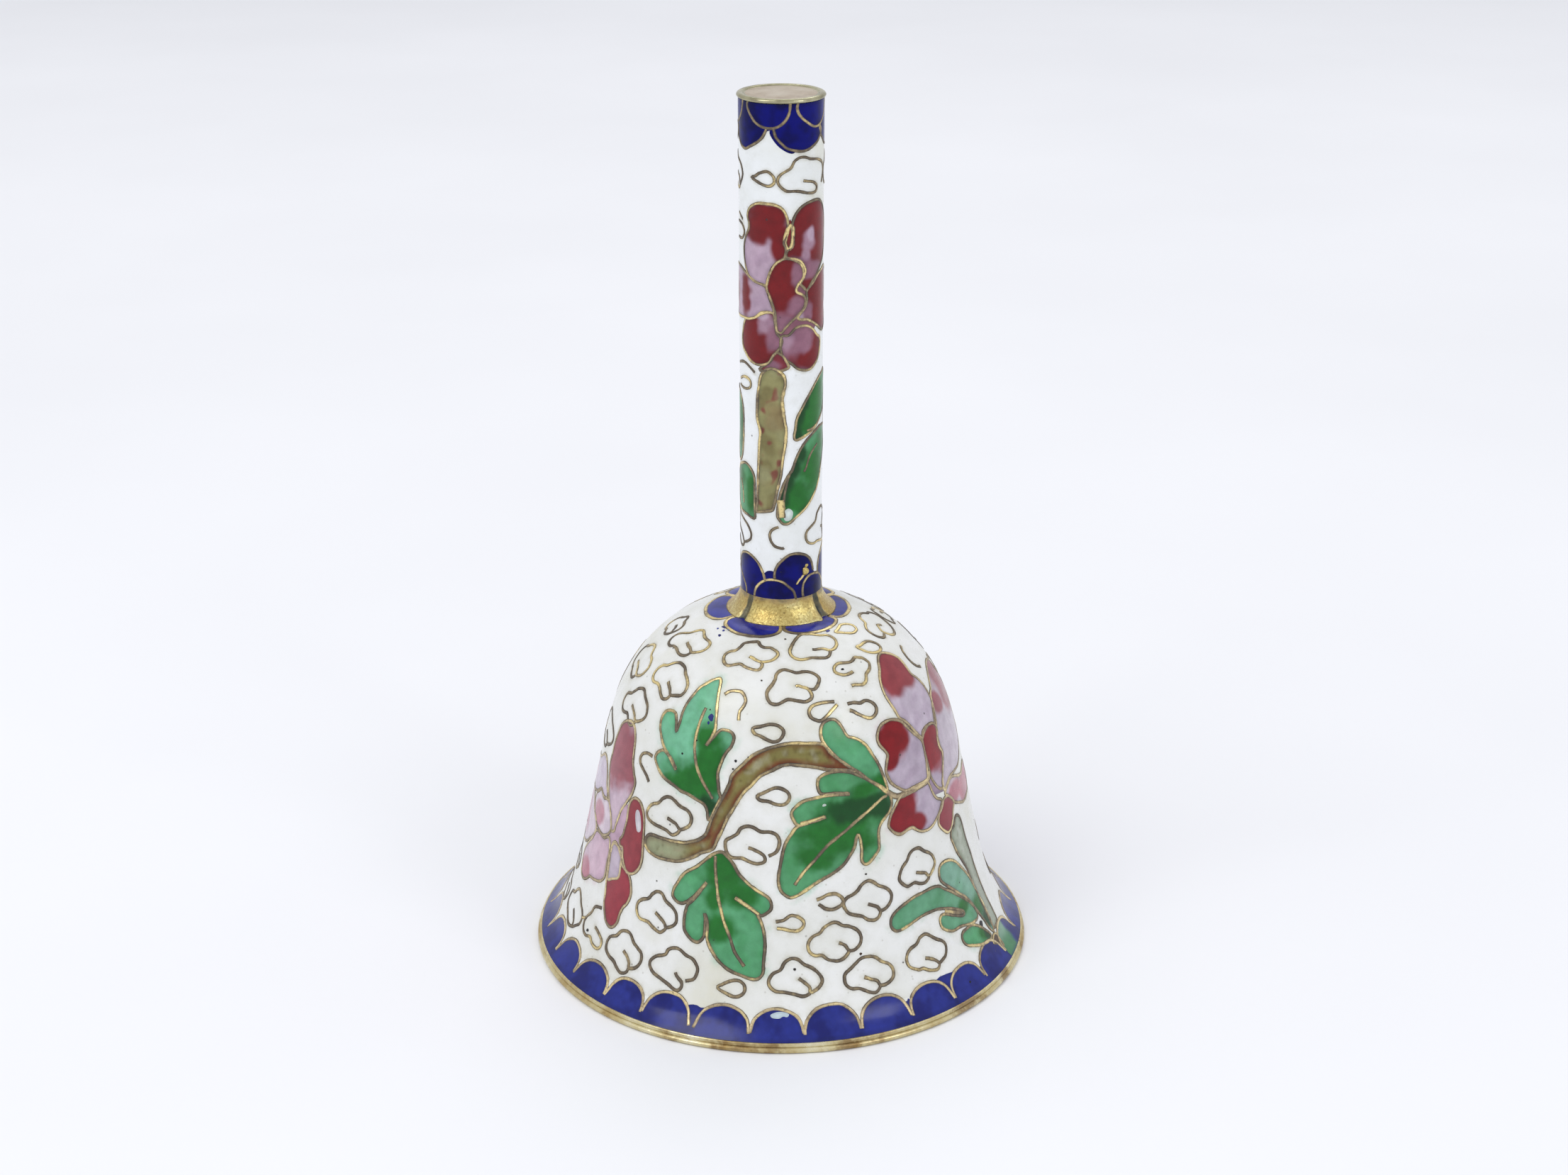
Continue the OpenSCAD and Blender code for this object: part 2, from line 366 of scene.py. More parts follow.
def lathe(name, rings, mat, body, seg=288, wave=0.0, colour=None, shape=None):
    """A closed ring of section points (r, z, weight) turned about Z. A point at r = 0 is one vertex."""
    buf = Buf()
    m = len(rings)
    at_axis = {}
    index = {}
    for k, (r, z, w) in enumerate(rings):
        if r < 1e-6:
            at_axis[k] = len(buf.v)
            buf.v.append(Vector((0, 0, z)))
            buf.c.append(colour(buf.v[-1], w) if colour else (1, 1, 1))
    for i in range(seg):
        a = 2 * math.pi * i / seg
        for k, (r, z, w) in enumerate(rings):
            if k in at_axis:
                index[i, k] = at_axis[k]
                continue
            d = dz = 0.0
            if w and wave:
                d = wave * w * (noise.noise(Vector((r * math.sin(a) * 0.22, r * math.cos(a) * 0.22, z * 0.22))) - 0.9)
            if shape:
                d, dz = shape(a, r, z, w)
            index[i, k] = len(buf.v)
            buf.v.append(Vector(((r + d) * math.sin(a), -(r + d) * math.cos(a), z + dz)))
            buf.c.append(colour(buf.v[-1], w) if colour else (1, 1, 1))
    for i in range(seg):
        j = (i + 1) % seg
        for k in range(m):
            l = (k + 1) % m
            if k in at_axis and l in at_axis:
                continue
            f = [index[i, k], index[i, l], index[j, l], index[j, k]]
            f = [v for n, v in enumerate(f) if v != f[n - 1]]
            buf.f.append(tuple(f))
    return buf.make(name, mat, body)


# ---------------------------------------------------------------- materials
def lin(r, g, b):
    def f(v):
        v /= 255.0
        return v / 12.92 if v <= 0.04045 else ((v + 0.055) / 1.055) ** 2.4
    return (f(r), f(g), f(b), 1.0)


class Mat:
    def __init__(self, name):
        self.m = bpy.data.materials.new(name)
        self.m.use_nodes = True
        self.t = self.m.node_tree
        self.b = self.t.nodes["Principled BSDF"]
        self.co = self.t.nodes.new("ShaderNodeTexCoord").outputs["Object"]

    def node(self, kind, **kw):
        n = self.t.nodes.new(kind)
        for k, v in kw.items():
            if k in n.inputs:
                n.inputs[k].default_value = v
            else:
                setattr(n, k, v)
        return n

    def link(self, a, b):
        self.t.links.new(a, b)

    def noise(self, scale, detail=3.0, rough=0.55, distortion=0.0, vec=None):
        n = self.t.nodes.new("ShaderNodeTexNoise")
        n.inputs["Scale"].default_value = scale
        n.inputs["Detail"].default_value = detail
        n.inputs["Roughness"].default_value = rough
        n.inputs["Distortion"].default_value = distortion
        self.link(vec or self.co, n.inputs["Vector"])
        return n.outputs["Fac"]

    def voronoi(self, scale, feature="F1"):
        n = self.t.nodes.new("ShaderNodeTexVoronoi")
        n.feature = feature
        n.inputs["Scale"].default_value = scale
        self.link(self.co, n.inputs["Vector"])
        return n

    def ramp(self, src, stops):
        n = self.t.nodes.new("ShaderNodeValToRGB")
        e = n.color_ramp.elements
        while len(e) < len(stops):
            e.new(0.5)
        for i, (p, c) in enumerate(stops):
            e[i].position = p
            e[i].color = c if len(c) == 4 else (*c, 1)
        self.link(src, n.inputs["Fac"])
        return n.outputs["Color"]

    def span(self, src, a, b, c, d):
        n = self.t.nodes.new("ShaderNodeMapRange")
        for k, v in zip(("From Min", "From Max", "To Min", "To Max"), (a, b, c, d)):
            n.inputs[k].default_value = v
        self.link(src, n.inputs["Value"])
        return n.outputs["Result"]

    def mix(self, fac, a, b, mode="MIX"):
        n = self.t.nodes.new("ShaderNodeMix")
        n.data_type = "RGBA"
        n.blend_type = mode
        for key, v in ((0, fac), (6, a), (7, b)):
            if isinstance(v, (int, float)):
                n.inputs[key].default_value = v
            elif isinstance(v, tuple):
                n.inputs[key].default_value = v
            else:
                self.link(v, n.inputs[key])
        return n.outputs[2]

    def math(self, op, a, b=0.0):
        n = self.t.nodes.new("ShaderNodeMath")
        n.operation = op
        for i, v in enumerate((a, b)):
            if isinstance(v, (int, float)):
                n.inputs[i].default_value = v
            else:
                self.link(v, n.inputs[i])
        return n.outputs[0]

    def attr(self):
        n = self.t.nodes.new("ShaderNodeAttribute")
        n.attribute_name = "Col"
        return n.outputs["Color"]

    def bump(self, height, dist, strength=1.0, chain=None):
        n = self.t.nodes.new("ShaderNodeBump")
        n.inputs["Strength"].default_value = strength
        n.inputs["Distance"].default_value = dist
        self.link(height, n.inputs["Height"])
        if chain is not None:
            self.link(chain, n.inputs["Normal"])
        return n.outputs["Normal"]

    def set(self, **kw):
        names = {"base": "Base Color", "rough": "Roughness", "metal": "Metallic", "normal": "Normal",
                 "coat": "Coat Weight", "coat_rough": "Coat Roughness", "spec": "Specular IOR Level", "ior": "IOR",
                 "sss": "Subsurface Weight", "sss_scale": "Subsurface Scale"}
        for k, v in kw.items():
            s = self.b.inputs[names[k]]
            if isinstance(v, (int, float, tuple)):
                s.default_value = v
            else:
                self.link(v, s)
        return self.m


def enamel(name, base=None, rough=(0.16, 0.34), mottle=0.13, pits=True, spec=0.28, coat=0.06):
    """Fired enamel, stoned back and polished: glassy, a little cloudy, with a few pinholes."""
    k = Mat(name)
    col = base if base is not None else k.attr()
    fine = k.noise(950, 4, 0.6)
    broad = k.noise(210, 3, 0.6)
    shade = k.span(fine, 0.3, 0.7, 1 - mottle, 1 + mottle * 0.5)
    shade2 = k.span(broad, 0.3, 0.7, 1 - mottle * 0.8, 1 + mottle * 0.45)
    g = k.math("MULTIPLY", shade, shade2)
    grey = k.node("ShaderNodeCombineColor")
    for i in range(3):
        k.link(g, grey.inputs[i])
    out = k.mix(1.0, col, grey.outputs[0], "MULTIPLY")
    h1 = k.noise(1500, 3, 0.6)
    h2 = k.noise(330, 2, 0.5)
    if pits:
        v = k.voronoi(620)
        ink = k.span(v.outputs["Distance"], 0.05, 0.11, 1.0, 0.0)
        sep = k.node("ShaderNodeSeparateColor")
        k.link(v.outputs["Color"], sep.inputs[0])
        pick = k.span(sep.outputs[0], 0.90, 0.93, 0.0, 1.0)
        spot = k.math("MULTIPLY", ink, pick)
        out = k.mix(k.math("MULTIPLY", spot, 0.75), out, (0.03, 0.028, 0.03, 1))
        pit = k.math("SUBTRACT", 1.0, spot)
        n0 = k.bump(pit, 0.00006, 0.8)
    else:
        n0 = None
    n1 = k.bump(h2, 0.00004, 0.35, n0)
    n2 = k.bump(h1, 0.000006, 0.35, n1)
    r = k.span(k.noise(420, 4, 0.6), 0.3, 0.72, rough[0], rough[1])
    return k.set(base=out, rough=r, normal=n2, spec=spec, coat=coat, coat_rough=0.12)


def white_enamel(name, lift=(0, 0, 0)):
    """Opaque white with cream patches, darker along the wires, and a little colour bled from the cells."""
    k = Mat(name)
    a = k.node("ShaderNodeAttribute")
    a.attribute_name = "Col"
    sep0 = k.node("ShaderNodeSeparateColor")
    k.link(a.outputs["Color"], sep0.inputs[0])
    broad = k.noise(70, 4, 0.6)
    fine = k.noise(700, 4, 0.62)
    c = k.ramp(broad, [(x, lin(*(v + d for v, d in zip(rgb, lift)))) for x, rgb in
                       ((0.30, (214, 213, 199)), (0.45, (222, 223, 218)), (0.58, (230, 231, 229)), (0.74, (219, 219, 210)))])
    c = k.mix(k.span(fine, 0.50, 0.78, 0.0, 0.30), c, lin(204, 204, 198))
    # the ground is darker along the wires; channel 0 of Col holds the nearness to a wire
    wire_edge_noise = k.noise(1100, 3, 0.6)
    wire_edge_dark = k.math("MULTIPLY", sep0.outputs[0], k.span(wire_edge_noise, 0.32, 0.62, 0.15, 1.0))
    c = k.mix(k.math("MULTIPLY", wire_edge_dark, 0.62), c, lin(172, 166, 138))
    n_bleed = k.noise(520, 3, 0.6)
    c = k.mix(k.math("MULTIPLY", sep0.outputs[1], k.span(n_bleed, 0.45, 0.66, 0.0, 0.55)), c, lin(150, 196, 172))
    c = k.mix(k.math("MULTIPLY", sep0.outputs[2], k.span(n_bleed, 0.45, 0.66, 0.0, 0.5)), c, lin(208, 178, 190))
    v = k.voronoi(600)
    ink = k.span(v.outputs["Distance"], 0.04, 0.10, 1.0, 0.0)
    sep = k.node("ShaderNodeSeparateColor")
    k.link(v.outputs["Color"], sep.inputs[0])
    pick = k.span(sep.outputs[0], 0.80, 0.82, 0.0, 1.0)
    spot = k.math("MULTIPLY", ink, pick)
    c = k.mix(k.math("MULTIPLY", spot, 0.85), c, lin(58, 52, 48))
    v2 = k.voronoi(1300)
    sep2 = k.node("ShaderNodeSeparateColor")
    k.link(v2.outputs["Color"], sep2.inputs[0])
    spot2 = k.math("MULTIPLY", k.span(v2.outputs["Distance"], 0.08, 0.22, 1.0, 0.0), k.span(sep2.outputs[1], 0.86, 0.9, 0.0, 1.0))
    c = k.mix(k.math("MULTIPLY", spot2, 0.4), c, lin(150, 144, 130))
    n0 = k.bump(k.math("SUBTRACT", 1.0, spot), 0.00007, 0.8)
    n1 = k.bump(k.noise(300, 2, 0.5), 0.00005, 0.4, n0)
    n2 = k.bump(k.noise(1600, 3, 0.6), 0.000007, 0.4, n1)
    r = k.span(k.noise(500, 4, 0.6), 0.3, 0.7, 0.2, 0.42)
    return k.set(base=c, rough=r, normal=n2, spec=0.32, coat=0.08, coat_rough=0.16)


def wire_metal(name, dull=(108, 97, 82), mid=(160, 143, 110), bright=(230, 208, 146)):
    """Wire ground flush and tarnished, with bright gold patches that are partly painted highlight, and darker down both
    sides.
    """
    k = Mat(name)
    a = k.node("ShaderNodeAttribute")
    a.attribute_name = "Col"
    sep = k.node("ShaderNodeSeparateColor")
    k.link(a.outputs["Color"], sep.inputs[0])
    n = k.noise(1300, 4, 0.6)
    f = k.math("ADD", sep.outputs[0], k.span(n, 0.3, 0.7, -0.32, 0.32))
    c = k.ramp(f, [(0.0, lin(*dull)), (0.45, lin(*mid)), (0.92, lin(*bright))])
    sp = k.span(k.noise(3200, 3, 0.6), 0.54, 0.68, 0.0, 0.55)
    c = k.mix(sp, c, lin(92, 76, 56))
    # darker down both sides of each wire, varying along it
    edge = k.math("MULTIPLY", k.span(sep.outputs[1], 0.15, 0.95, 0.0, 0.95), k.span(sep.outputs[2], 0.1, 0.9, 0.45, 1.0))
    c = k.mix(edge, c, lin(64, 55, 48))
    n1 = k.bump(k.noise(2600, 3, 0.6), 0.000012, 0.6)
    r = k.span(f, 0.0, 1.0, 0.5, 0.24)
    return k.set(base=c, rough=r, metal=0.55, normal=n1)


def gilt(name):
    """Collar: a grainy gilt surface, still bright, with dark flux in the pores and in the folds, and painted shade
    darkening it towards the top.
    """
    k = Mat(name)
    a = k.node("ShaderNodeAttribute")
    a.attribute_name = "Col"
    sep0 = k.node("ShaderNodeSeparateColor")
    k.link(a.outputs["Color"], sep0.inputs[0])
    broad = k.noise(260, 4, 0.6)
    c = k.ramp(broad, [(0.30, lin(188, 164, 98)), (0.5, lin(216, 198, 128)), (0.7, lin(238, 228, 168))])
    grain = k.noise(3600, 3, 0.65)
    c = k.mix(k.span(grain, 0.36, 0.6, 0.6, 0.0), c, lin(138, 112, 56))
    v = k.voronoi(2300)
    sep = k.node("ShaderNodeSeparateColor")
    k.link(v.outputs["Color"], sep.inputs[0])
    spot = k.math("MULTIPLY", k.span(v.outputs["Distance"], 0.12, 0.28, 1.0, 0.0), k.span(sep.outputs[0], 0.74, 0.8, 0.0, 1.0))
    c = k.mix(k.math("MULTIPLY", spot, 0.8), c, lin(84, 68, 40))
    # channel 0 is flux in the folds and painted shade towards the top of the flare
    flux_and_top_shade = k.math("MULTIPLY", sep0.outputs[0], k.span(k.noise(900, 4, 0.6), 0.3, 0.6, 0.7, 1.0))
    c = k.mix(flux_and_top_shade, c, lin(44, 50, 46))
    tan = k.math("MULTIPLY", sep0.outputs[1], k.span(k.noise(1100, 4, 0.6), 0.35, 0.65, 0.2, 0.9))
    c = k.mix(tan, c, lin(176, 146, 96))
    n1 = k.bump(grain, 0.00004, 0.9)
    n2 = k.bump(k.noise(1500, 3, 0.6), 0.00006, 0.6, n1)
    r = k.span(grain, 0.3, 0.7, 0.44, 0.28)
    metal = k.span(flux_and_top_shade, 0.1, 0.6, 0.78, 0.1)
    return k.set(base=c, rough=r, metal=metal, normal=n2)


def brass(name, lo, mid, hi, stain, rough=(0.28, 0.46), stain_at=(0.54, 0.66), grain=1400, metal=0.88, bump=0.00003):
    k = Mat(name)
    broad = k.noise(240, 5, 0.62)
    c = k.ramp(broad, [(0.32, lin(*lo)), (0.5, lin(*mid)), (0.68, lin(*hi))])
    patch = k.noise(170, 5, 0.68)
    c = k.mix(k.span(patch, stain_at[0], stain_at[1], 0.0, 0.75), c, lin(*stain))
    g = k.noise(grain, 4, 0.6)
    c = k.mix(k.span(g, 0.5, 0.75, 0.0, 0.4), c, lin(*lo))
    n1 = k.bump(g, bump, 0.6)
    n2 = k.bump(k.noise(320, 3, 0.5), bump * 2, 0.4, n1)
    r = k.span(broad, 0.3, 0.7, rough[1], rough[0])
    return k.set(base=c, rough=r, metal=metal, normal=n2)


M_WHITE = white_enamel("white_ground_enamel")
M_WHITE_H = white_enamel("handle_white_enamel", lift=(6, 8, 12))
M_CELL = enamel("coloured_enamel")
M_BLUE = enamel("cobalt_enamel", rough=(0.14, 0.26), mottle=0.14)
M_BLUE_H = enamel("handle_cobalt_enamel", rough=(0.14, 0.26), mottle=0.14, spec=0.12, coat=0.03)
M_WIRE = wire_metal("cloison_wire_metal")
M_WIRE_GOLD = wire_metal("wire_worn_bright", dull=(150, 134, 108), mid=(190, 172, 136), bright=(226, 206, 156))
M_COLLAR = gilt("gilt_collar_metal")
M_CAP = brass("cap_brass", (166, 150, 130), (184, 170, 150), (196, 184, 164), (146, 126, 106), rough=(0.3, 0.45), metal=0.72)
M_CAP_EDGE = brass("cap_edge_brass", (138, 132, 104), (176, 172, 140), (222, 220, 188), (98, 86, 58), rough=(0.14, 0.3), metal=0.85, stain_at=(0.6, 0.7))
M_RIM = brass("rim_brass", (176, 152, 100), (206, 194, 150), (226, 218, 186), (124, 92, 50), rough=(0.24, 0.4), metal=0.75, stain_at=(0.50, 0.60))
M_FIT = brass("fittings_brass", (150, 118, 62), (186, 154, 88), (208, 180, 112), (98, 76, 48))
M_CUP = brass("cup_copper", (120, 74, 50), (150, 96, 66), (170, 116, 84), (80, 52, 40), rough=(0.35, 0.55))
M_STEEL = brass("steel_wire", (120, 120, 118), (150, 150, 148), (176, 176, 174), (96, 88, 78))
M_INNER = enamel("turquoise_lining", base=lin(70, 160, 172), rough=(0.16, 0.36), mottle=0.18)

for node_name, m in (("bell_shell", M_CUP), ("inner_enamel", M_INNER), ("lip_rim", M_RIM), ("crown_bush", M_FIT),
                     ("handle_tube", M_FIT),
                     ("swivel_stirrup", M_FIT), ("swivel_washer", M_FIT), ("clapper_pin", M_STEEL),
                     ("clapper_rod", M_STEEL), ("clapper_ball", M_FIT)):
    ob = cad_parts[node_name]
    for sl in ob.material_slots:
        sl.material = m
    if not ob.material_slots:
        ob.data.materials.append(m)

# ---------------------------------------------------------------- motifs, (theta in degrees, s or z in mm)
CLOUDS = [
  [(-18.2,12.7),(-16.3,12.8),(-13.8,13.1),(-10.9,13.3),(-7.2,13.2),(-4.4,12.9),(-2.5,12.4),(-2,12.1),(-2.5,11.7),(-4.4,11.4),(-7.2,11.1),(-10.9,11.1),(-13.2,10.9),(-14.7,10.6),(-16.1,10.3),(-19.6,10.4),(-22.9,10.6),(-25.4,10.9),(-26.2,11.4),(-27.8,12.1),(-30.3,12.4),(-32.1,12.8),(-32.7,13.3),(-31.7,13.9),(-29.5,14.4),(-27,14.5),(-24.5,14.2),(-21.7,14),(-18.8,14.3),(-15.9,14.5),(-11.8,14.6),(-10.2,14.2),(-9.9,13.7),(-10.7,13.4)],
  [(6.5,16.8),(7.6,16.7),(9.6,16.9),(11.5,17.1),(12.7,17.7),(12.9,18.2),(12,18.6),(9.6,18.8),(6.3,18.6),(3,18.4),(1.4,18.6),(-1.5,19),(-4,18.9),(-5.6,18.3),(-6.2,17.7),(-5.6,17.1),(-4,16.5),(-2.7,15.8),(-2.3,15.1),(-0.7,14.6),(1.8,14.4),(4.3,14.6),(7.2,14.9),(10.9,14.8),(13.3,14.9),(15.8,15.2),(17.5,15.7),(17.9,16),(17.2,16.5),(15.4,17.1),(13.8,17.3),(11.9,17.2)],
  [(19.5,11.6),(21.6,11.7),(24.9,11.7),(27.4,11.9),(29.5,12.2),(32.3,12.2),(35.2,11.9),(37.3,11.4),(38.1,10.8),(36.9,10.2),(34.4,9.8),(31.1,9.7),(28.2,9.5),(25.8,9.3),(23.3,9.1),(20,9),(17.1,8.9),(14.2,9.1),(11.4,9.6),(8.9,10.2),(6.8,10.9),(5.4,11.5),(5.6,12.1),(7.7,12.7),(10.5,13),(13.8,13),(17.1,12.9),(20,13),(22.5,13.1),(25.4,13.2),(27.8,13),(29.5,12.5),(29.7,12.3)],
  [(35.4,16),(33.2,16.1),(30.3,16.1),(27.8,15.8),(26.5,15.4),(26.8,14.9),(28.2,14.6),(30.3,14.4),(33.6,14.5),(36.5,14.6),(38.9,14.5),(41.4,14.2),(43.1,14.4),(44.7,14.6),(46.3,15.2),(46.8,15.6),(45.5,16.2),(43.9,16.5),(41.4,16.8),(40.2,17.3),(38.9,17.7),(36.5,17.9),(33.6,17.7),(31.7,17.7)],
  [(-61.7,13.7),(-59.2,13.9),(-55.9,14.1),(-53,14.5),(-50.1,14.2),(-47.2,13.6),(-46,12.9),(-46.8,12.3),(-49.3,12),(-52.6,11.9),(-55.9,11.7),(-58.4,11.4),(-61.2,11.2),(-63.7,11.4),(-66.2,11.9),(-68.7,12.6),(-71.5,13),(-74,13.4),(-75.7,13.9),(-76,14.6),(-74.8,15.2),(-72.8,15.5),(-70.3,15.5),(-68.2,15.2),(-65.8,15.1),(-63.3,15.2),(-60,15.4),(-56.7,15.4),(-54.2,15.1),(-53.2,14.6)],
  [(-53.2,19.1),(-51.4,19.5),(-49.7,19.9),(-48.3,20.4),(-45.6,20.2),(-43.1,19.9),(-42.1,19.3),(-42.5,18.5),(-44.4,17.8),(-46.8,17.3),(-49.3,16.6),(-51.8,16.4),(-54.7,16.4),(-57.5,16.8),(-60,17.4),(-62.5,17.7),(-64.1,18.3),(-64.5,19),(-63.7,19.7),(-61.2,20.1),(-58.4,20),(-56.3,20.2),(-54.2,20.7),(-51.4,21.2),(-49.3,21),(-48.3,20.5)],
  [(-66.8,24.2),(-64.5,24.6),(-62.5,25),(-60.8,25.5),(-58.4,25.2),(-56.5,24.6),(-55.9,23.9),(-57.1,23.1),(-59.2,22.6),(-61.7,22.1),(-63.7,21.7),(-65.8,21.7),(-68.2,22.1),(-69.9,22.7),(-71.9,23.3),(-74.4,23.7),(-75.2,24.4),(-74.8,25.1),(-72.8,25.7),(-70.3,25.7),(-67.8,25.5),(-65.8,26),(-63.7,26.4),(-61.7,26.2),(-60.6,25.6)],
  [(-84.5,20.3),(-81.8,20.5),(-79.4,20.8),(-76.9,21.3),(-74.4,21.1),(-72.2,20.6),(-71.1,19.7),(-71.7,19),(-74,18.4),(-76.9,18.2),(-78.9,17.7),(-80.6,17.3),(-83.1,17.3),(-85.9,17.7),(-88,18.3),(-90.5,18.7),(-91.7,19.7),(-90.5,20.9),(-88,21.5),(-85.5,21.6),(-82.6,22),(-79.8,22.1),(-77.9,21.8),(-77,21.3)],
  [(-87.2,13.7),(-85.1,13.8),(-83.5,14.1),(-81.8,14.6),(-80.4,14),(-80,13.5),(-81,12.9),(-83.5,12.6),(-86.4,12.5),(-88.8,12.1),(-91.7,12.1),(-93.8,12.7),(-96.2,13.2),(-97.1,14),(-95.8,15.1),(-92.9,15.4),(-90.1,15.2),(-88,15.4),(-85.5,15.4),(-83.1,15),(-81.8,14.6)],
  [(-84.3,30.7),(-82.6,30.8),(-80.8,31.1),(-79.3,31.5),(-77.3,31.4),(-75.7,31.1),(-73.8,30.7),(-73,30),(-74,29.4),(-76.5,28.9),(-79.8,28.5),(-83.1,28.2),(-86.4,28),(-89.2,28.3),(-91.3,29),(-93.4,29.6),(-94.2,30.6),(-92.5,31.6),(-90.1,32.1),(-86.8,32.1),(-83.9,32.4),(-81,32.3),(-79.6,31.9),(-79.2,31.6)],
  [(-9.7,36.7),(-8.5,36.8),(-6.6,37.1),(-5.1,37.5),(-4.6,38),(-5.2,38.4),(-7,38.6),(-9.3,38.4),(-11.4,38.1),(-14.2,38.1),(-15.9,37.7),(-16.7,36.8),(-16.5,36),(-14.7,35.5),(-13,35),(-12.2,34.4),(-10.3,34),(-8.4,34.1),(-6,34.6),(-3.5,34.6),(-1.5,34.9),(-0.5,35.6),(-0.7,36.4),(-1.7,37.1),(-3.7,37.6)],
  [(-36.8,35),(-34.9,35.2),(-33.3,35.4),(-31.9,35.9),(-30.2,35.6),(-28.7,35.1),(-28.1,34.4),(-28.5,33.8),(-30,33.3),(-32.8,33),(-34.9,32.5),(-37,32.3),(-39,32.7),(-40.9,33.5),(-43.1,33.9),(-44.6,34.6),(-45.1,35.4),(-44.2,36),(-41.9,36.3),(-39,36.4),(-36.5,36.6),(-34.5,36.9),(-32.6,36.5),(-31.9,36)],
  [(-28,53.7),(-27.4,54.1),(-26,54.6),(-25.7,55.2),(-26.8,55.8),(-29.5,55.3),(-31.5,55),(-34,54.6),(-35.6,54),(-35.9,53.2),(-34.4,52.4),(-31.9,51.9),(-31.1,51.2),(-29.5,50.8),(-27.8,50.8),(-25.8,51.3),(-23.7,51.6),(-22.1,52.5),(-22.1,53.3),(-22.9,54),(-24.9,54.4)],
  [(4.5,52.8),(5.9,53.4),(7.2,54),(7.4,54.6),(9.6,54),(10.5,53.2),(9.6,52.3),(8,51.6),(5.9,51.1),(4.3,50.5),(2.4,50.4),(0.8,50.9),(-0.2,51.7),(-2.1,52.2),(-3.1,53),(-2.9,53.7),(-1.5,54.3),(1,54.5),(3,54.7),(5.5,55),(7.2,54.7)],
  [(15.6,48.9),(17.2,49.3),(18.4,50),(19.9,50),(21.6,49.4),(22,48.5),(21.2,47.7),(19.1,47.1),(17,46.8),(15.4,46.3),(13.8,46.3),(11.7,46.8),(10.5,47.4),(8.4,47.8),(7.2,48.6),(7.4,49.5),(8.8,50.1),(10.9,50.2),(12.5,50.8),(15,51.1),(17,50.8),(18.1,50.3),(18.4,50)],
  [(21.6,53.6),(23.3,54),(24.9,54.4),(25.6,55),(27.4,55),(29.5,54.4),(29.9,53.5),(28.9,52.7),(26.8,52.1),(25.4,51.5),(23.7,51.2),(21.6,51.2),(20,51.7),(18.4,52.2),(16.7,52.7),(16.2,53.3),(16.5,54.1),(17.9,54.7),(20,54.9),(22.4,55.5),(24,55.7),(25.1,55.4),(25.7,55)],
  [(24.9,44.7),(26.2,45),(27.8,45.4),(28.5,45.9),(30.3,45.8),(31.9,45.2),(32.6,44.5),(32.1,43.8),(30.7,43.2),(28.6,42.7),(27,42.1),(25.4,41.8),(23.5,42.1),(22.1,42.7),(20.4,43.1),(18.6,43.4),(17.6,44),(17.9,44.7),(19.1,45.4),(21.2,45.8),(22.9,46.1),(24.5,46.7),(26.6,46.9),(28,46.6),(28.6,46)],
  [(42.2,42.7),(44.1,43),(45.9,43.3),(47.1,43.9),(48.8,43.5),(50.3,42.7),(49.8,41.8),(48.4,41.1),(46.3,40.5),(44.7,39.9),(42.6,39.8),(40.6,40.1),(39.3,40.8),(37.3,41.4),(36.1,42.1),(35.8,42.8),(36.9,43.5),(38.5,44),(41,43.9),(43.1,44.3),(45.1,44.5),(46.8,44.2),(47.2,43.9)],
  [(40.4,53.6),(42.2,54),(43.7,54.5),(44.4,54.9),(45.7,54.8),(47.4,54.4),(48.4,53.5),(47.6,52.7),(45.5,52),(43.9,51.4),(42.2,50.8),(40.2,50.9),(38.5,51.5),(36.3,51.8),(34.8,52.4),(34.4,53.2),(35.2,54),(37.3,54.6),(38.9,54.7),(41,55.3),(43.1,55.6),(44.2,55.3),(44.4,55)],
  [(-37,47.2),(-35.1,47.7),(-33.5,48.2),(-33,48.6),(-31,48.2),(-29.9,47.5),(-30.2,46.6),(-31.6,45.9),(-34.1,45.3),(-35.5,44.6),(-37.2,44.5),(-38.8,45),(-40.2,45.8),(-42.5,46.3),(-44,47.1),(-43.7,48),(-42.3,48.7),(-39.4,48.7),(-37.4,49.1),(-34.9,49.5),(-33.5,49.1),(-32.9,48.7)],
  [(-45.4,53.5),(-43.7,54),(-42.5,54.7),(-42.2,55.2),(-40.2,54.9),(-39,54),(-39.2,53),(-40.9,52.4),(-42.7,51.9),(-44.4,51.2),(-46,51.1),(-47.9,51.4),(-49.3,52.2),(-51.6,52.8),(-52.2,53.7),(-51.6,54.6),(-49.7,55.1),(-47.9,55.3),(-46.2,55.8),(-44.4,56.2),(-42.7,55.9),(-42.2,55.3)],
  [(-58.6,50.4),(-60.4,50.6),(-62.1,51),(-62.9,52),(-64.5,52.8),(-65.2,53.7),(-64.1,54.6),(-62.1,54.9),(-59.8,54.6),(-58,55.1),(-55.5,55.2),(-54.2,54.7),(-54.5,54),(-55.9,53.6),(-57.5,53.3),(-59,53.1)],
  [(-74,54.1),(-72.2,54.7),(-70.9,55.2),(-70.4,55.8),(-68.7,55.2),(-67.2,54.6),(-67,53.7),(-68.2,53),(-70.3,52.5),(-71.9,52),(-73.6,51.6),(-75.2,51.5),(-76.9,52),(-78.3,52.7),(-80.6,53.1),(-81.4,53.9),(-81,54.7),(-78.9,55.2),(-76.5,55.6),(-74.4,56),(-72.4,56.1),(-70.5,55.8)],
  [(-88.8,54.2),(-87.2,54.6),(-85.9,55.1),(-85.5,55.7),(-84.5,55.2),(-84.1,54.2),(-85.5,53.4),(-88,53.3),(-89.6,52.7),(-91.7,52.6),(-93.4,53.2),(-95.4,53.7),(-95.8,54.6),(-94.2,55.2),(-91.7,55.4),(-90.1,55.9),(-87.6,56.1),(-85.5,55.7)],
